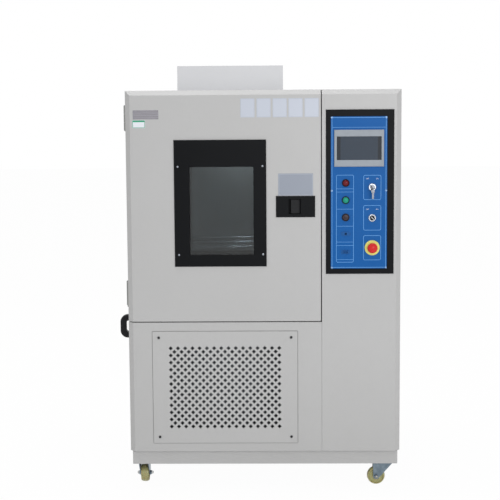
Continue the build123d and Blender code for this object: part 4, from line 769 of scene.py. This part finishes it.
def hangKey(trim):
    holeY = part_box("key")[0].y + trim["holeBehindFront"]
    thick = trim["thick"]
    ring, faces = ringPoints(trim["ringRadius"], trim["wire"], 1.0, 56, 12)
    ring = ring[:, [2, 1, 0]] + np.array([trim["x"], trim["z"] - trim["ringRadius"] + trim["ringLift"], 0])
    addPiece("keyRing", (ring, faces), "keyNickel", "cabinet", "front", (0, holeY, 0))
    bow = platePoints(*trim["bow"], 0.004, thick, 0.0003)
    blade = platePoints(*trim["blade"], 0.0012, thick * 0.9, 0.0003)
    nick = platePoints(*trim["nick"], 0.0003, thick * 0.95, 0.0002)
    x, z = trim["nickAt"]
    nicks = moved(nick, *[(x, z - trim["nickPitch"] * step, 0.0001) for step in range(trim["nicks"])])
    key = gathered([bow, moved(blade, (0, -trim["bladeDown"], 0.0001)), nicks])
    low = trim["z"] - 2 * trim["ringRadius"] - trim["keyDown"]
    addPiece("spareKey", key, "keyNickel", "cabinet", "front",
             (trim["x"], holeY + trim["keyBack"], low))


hangKey(keyTrim)
selectorTrim = {"x": 0.3970, "z": 0.96495, "length": 0.0135, "width": 0.0018}


def markSelector(trim):
    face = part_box("selector_knob")[0].y
    points, faces = platePoints(trim["length"], trim["width"], 0.0006, 0.00025, 0.0001)
    slant = -math.pi / 4
    along, across = math.cos(slant), math.sin(slant)
    turn = np.array([[along, across, 0], [-across, along, 0], [0, 0, 1]])
    addPiece("selectorMark", (points @ turn, faces), "whitePrint", "selector_body", "front",
             (trim["x"], face, trim["z"]))


markSelector(selectorTrim)
print("key and selector ready")


# Covers: louvre hoods at the rear, blades behind the right side's slots, cover screws, and painted shadow
# lines in the seams round the grille and above the plinth
coverTrim = {
    "slotWidth": 0.110, "pitch": 0.022, "spread": 0.150, "lift": 0.0035,
    "hood": (0.120, 0.0165, 0.0065, 0.0008),  # width, height, rise, sheet
    "rearHoods": (-0.116, 0.402, 3, 10), "motorHoods": (-0.1045, 1.4575, 2, 3),
    "bladeRows": (0.402, 1.146), "bladeDepth": 0.012,
    "screw": (0.0042, 0.0019, 0.00055, 0.0011),  # radius, rise, width and depth of the cross
    "leftScrews": ((-0.415, 0.180), (0.457, 0.180), (-0.415, 0.770),
                   (0.457, 0.770), (-0.415, 1.350), (0.457, 1.350)),
    "rearScrews": ((-0.430, 0.165), (0.475, 0.165), (-0.430, 0.600), (0.475, 0.600), (-0.430, 1.000),
                   (0.475, 1.000), (-0.430, 1.350), (0.475, 1.350), (0.0225, 0.165), (0.0225, 1.350)),
    "roofScrews": ((-0.430, -0.415), (0.0225, -0.415), (0.475, -0.415),
                   (-0.430, 0.475), (0.0225, 0.475), (0.475, 0.475)),
}


# Hood: out = rise (1 - u^6) sin(pi/2 v^0.8) over the width u and down the height v, open at its lower lip
def hoodPoints(width, height, rise, sheet):
    across, down = np.meshgrid(np.linspace(-1, 1, 25), np.linspace(0, 1, 11))
    out = rise * (1 - across ** 6) * np.sin(math.pi / 2 * down ** 0.8)
    inner = np.stack([across * width / 2, height / 2 - down * height, out], -1)
    return stitched(inner, inner + np.array([0, 0, sheet]))


def gridSpots(centreX, centreZ, columns, rows, trim):
    across = [centreX + (column - (columns - 1) / 2) * trim["spread"] for column in range(columns)]
    heights = [centreZ + (row - (rows - 1) / 2) * trim["pitch"] + trim["lift"] for row in range(rows)]
    return [(x, z, 0) for x in across for z in heights]


def dressCovers(trim):
    rear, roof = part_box("rear_panel")[1].y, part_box("top_panel")[1].z
    motorRear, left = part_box("motor_cover")[1].y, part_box("left_side_panel")[0].x
    spots = gridSpots(*trim["rearHoods"], trim)
    hoods = moved(hoodPoints(*trim["hood"]), *[(-x, z, 0) for x, z, _ in spots])
    addPiece("rearLouvres", hoods, "cabinetPaint", "cabinet", "rear", (0, rear, 0))
    spots = gridSpots(*trim["motorHoods"], trim)
    hoods = moved(hoodPoints(*trim["hood"]), *[(-x, z, 0) for x, z, _ in spots])
    addPiece("motorLouvres", hoods, "coverPaint", "cabinet", "rear", (0, motorRear, 0))
    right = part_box("right_side_panel")[1].x - 0.002
    centreY = (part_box("right_side_panel")[0].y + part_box("right_side_panel")[1].y) / 2
    spots = [spot for row in trim["bladeRows"] for spot in gridSpots(centreY, row, 2, 7, trim)]
    blade, faces = hoodPoints(trim["slotWidth"] + 0.008, 0.015, trim["bladeDepth"], trim["hood"][3])
    blades = moved((blade * np.array([1, 1, -1]), faces), *spots)
    addPiece("sideLouvres", blades, "cabinetPaint", "cabinet", "right", (right, 0, 0))
    screw = screwPoints(*trim["screw"])
    for name, side, places, centre in (
            ("leftCoverScrews", "left", [(-y, z, 0) for y, z in trim["leftScrews"]], (left, 0, 0)),
            ("rearCoverScrews", "rear", [(-x, z, 0) for x, z in trim["rearScrews"]], (0, rear, 0)),
            ("roofScrews", "top", [(x, y, 0) for x, y in trim["roofScrews"]], (0, 0, roof))):
        addPiece(name, moved(screw, *places), "zinc", "cabinet", side, centre)


# Thin grey strips painted as shadow: one in the gap round the grille plate, one in the gap above the plinth
def paintSeamShadows():
    low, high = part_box("grille_plate")
    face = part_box("lower_front_panel")[0].y
    middle = (low + high) / 2
    shadowLine = linePoints(high.x - low.x + 0.0016, high.z - low.z + 0.0016, 0.002, 0.0016, 0.0003)
    addPiece("grilleSeamShadow", shadowLine, "paintedSeamShadow", "cabinet", "front", (middle.x, face, middle.z))
    low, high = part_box("base_frame")
    middle = (low + high) / 2
    shadowLine = platePoints(high.x - low.x - 0.004, 0.0032, 0.0005, 0.0004, 0.0001)
    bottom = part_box("lower_front_panel")[0].z - 0.0017
    addPiece("plinthSeamShadow", shadowLine, "paintedSeamShadow", "cabinet", "front", (middle.x, low.y, bottom))


dressCovers(coverTrim)
paintSeamShadows()
print("covers dressed")

# Casters: domed nuts on both ends of each axle
casterTrim = {
    "kingpins": {"front_left": (-0.4125, -0.42025, 90), "front_right": (0.4575, -0.42025, 180),
                 "rear_left": (-0.4125, 0.41975, 60), "rear_right": (0.4575, 0.41975, 130)},
    "trail": 0.037, "axleZ": 0.032,
    "nut": ((0.0058, 0), (0.0058, 0.0012), (0.0047, 0.0024), (0.0028, 0.0031), (0.0010, 0.0034)),
}


def capAxles(trim):
    lowFork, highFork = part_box("caster_fork_front_right")
    half = (highFork.y - lowFork.y) / 2
    for place, (x, y, heading) in trim["kingpins"].items():
        turn = math.radians(heading)
        ahead = np.array([math.cos(turn), math.sin(turn), 0])
        axle = np.array([-math.sin(turn), math.cos(turn), 0])
        centre = np.array([x, y, trim["axleZ"]]) + trim["trail"] * ahead
        dome, faces = turnedPoints(trim["nut"], 24)
        ends = []
        for way in (1, -1):
            axes = np.array([ahead * way, (0, 0, 1), -axle * way])
            ends.append((dome @ axes + centre - axle * way * (half - 0.0006), faces))
        addPiece("axleNuts_" + place, gathered(ends), "hingeSteel", "caster_" + place)


capAxles(casterTrim)
print("casters dressed")


# Finishes of the CAD pieces
nodeFinishes = {
    "cabinetPaint": ("base_frame", "left_side_panel", "right_side_panel", "rear_panel", "top_panel",
                     "door_jamb", "lower_front_panel", "grille_plate", "column_front_panel", "door_shell"),
    "coverPaint": ("motor_cover",),
    "blackPaint": ("control_frame", "window_frame", "latch_housing"),
    "portFace": ("data_ports",),
    "zinc": ("latch_bolt", *["caster_fork_" + place for place in casterTrim["kingpins"]]),
    "casterTread": tuple("caster_wheel_" + place for place in casterTrim["kingpins"]),
    "hingeSteel": ("hinge_cabinet_halves", "hinge_door_leaves"),
    "shadedLinerSteel": ("chamber_liner", "air_baffle"),
    "stainless": ("door_liner", "heater_coil", "humidifier_pan", "cable_port_sleeve"),
    "foam": ("chamber_insulation",),
    "blackRubber": ("door_gasket",),
    "silicone": ("cable_port_plug",),
    "galvanised": ("fan_wheel", "electrical_panel"),
    "darkSteel": ("condenser_fan_mount",),
    "machineBlack": ("fan_motor", "compressor"),
    "blackPlastic": ("latch_paddle", "selector_knob", "side_handle", "condenser_fan", "cable_gland"),
    "bezelPlastic": ("touch_screen",),
    "chromePlate": ("switch_bezels", "shelf"),
    "keyNickel": ("key",),
    "stopYellow": ("stop_collar",),
    "stopRed": ("stop_button",),
    "buzzerFace": ("alarm_buzzer",),
    "brassNickel": ("drain_stub",),
    "redLens": ("red_lamp",),
    "greenLens": ("green_lamp",),
    "bluePlate": ("control_plate",),
    "panelScrews": ("panel_screws",),
    "coolingFins": ("evaporator", "condenser_coil"),
    "windowGlass": ("window_panes",),
}


# Screws: dark round the grille, bright on the blue plate, told apart by the place across
def makePanelScrews(plateStarts=(0.19, 0.20)):
    material = makeMaterial("panelScrews", *finishes["plateScrew"])
    tree = material.node_tree
    shader, colour = paintedBy(material)
    onPlate = spread(tree, acrossIn(tree), *plateStarts, 0, 1)
    tree.links.new(blendColour(tree, onPlate, seen(46, 46, 48), colour), shader.inputs["Base Color"])
    return material


# Fins: bright edges with painted shade in the gaps between them, carried on in the relief (a wave repeats 20
# / 2 pi times)
def makeCoolingFins(pitch=0.003, depth=0.0006):
    material = makeMaterial("coolingFins", *finishes["galvanised"])
    tree = material.node_tree
    shader, colour = paintedBy(material)
    relief = shader.inputs["Normal"].links[0].from_node
    place = addNode(tree, "ShaderNodeTexCoord").outputs["Object"]
    bands = addNode(tree, "ShaderNodeTexWave", {"wave_type": "BANDS", "bands_direction": "X"},
                    {"Vector": place, "Scale": 2 * math.pi / (20 * pitch)}).outputs["Fac"]
    onFin = spread(tree, bands, 0.25, 0.6, 0, 1)
    # The dark colour between the fins is painted shade in the gaps
    tree.links.new(blendColour(tree, onFin, seen(38, 42, 48), colour), shader.inputs["Base Color"])
    tree.links.new(bands, relief.inputs["Height"])
    relief.inputs["Distance"].default_value = depth
    return material


# Glass: clear with a grey tint, and a thin coat that mirrors the studio
def makeWindowGlass():
    material = bpy.data.materials.new("windowGlass")
    material.use_nodes = True
    tree = material.node_tree
    tree.nodes.clear()
    place = addNode(tree, "ShaderNodeTexCoord").outputs["Object"]
    haze = noiseIn(tree, place, 9.0, 5.0, 0.6)
    tint = blendColour(tree, spread(tree, haze, 0.35, 0.7, 0, 1), seen(180, 187, 189), seen(168, 176, 179))
    shader = addNode(tree, "ShaderNodeBsdfPrincipled", {}, {
        "Base Color": tint, "Roughness": spread(tree, haze, 0.3, 0.7, 0.0, 0.008),
        "IOR": 1.45, "Specular IOR Level": 0.1, "Transmission Weight": 1.0})
    addNode(tree, "ShaderNodeOutputMaterial", {}, {"Surface": shader.outputs[0]})
    return material


materials["panelScrews"] = makePanelScrews()
materials["coolingFins"] = makeCoolingFins()
materials["windowGlass"] = makeWindowGlass()
for finish, names in nodeFinishes.items():
    for name in names:
        dressed = nodes[name]
        if not dressed.data.materials:
            dressed.data.materials.append(materials[finish])
        for index in range(len(dressed.data.materials)):
            dressed.data.materials[index] = materials[finish]
bare = set(nodes) - {name for names in nodeFinishes.values() for name in names}
print("nodes dressed:", len(nodes) - len(bare), "bare:", sorted(bare))
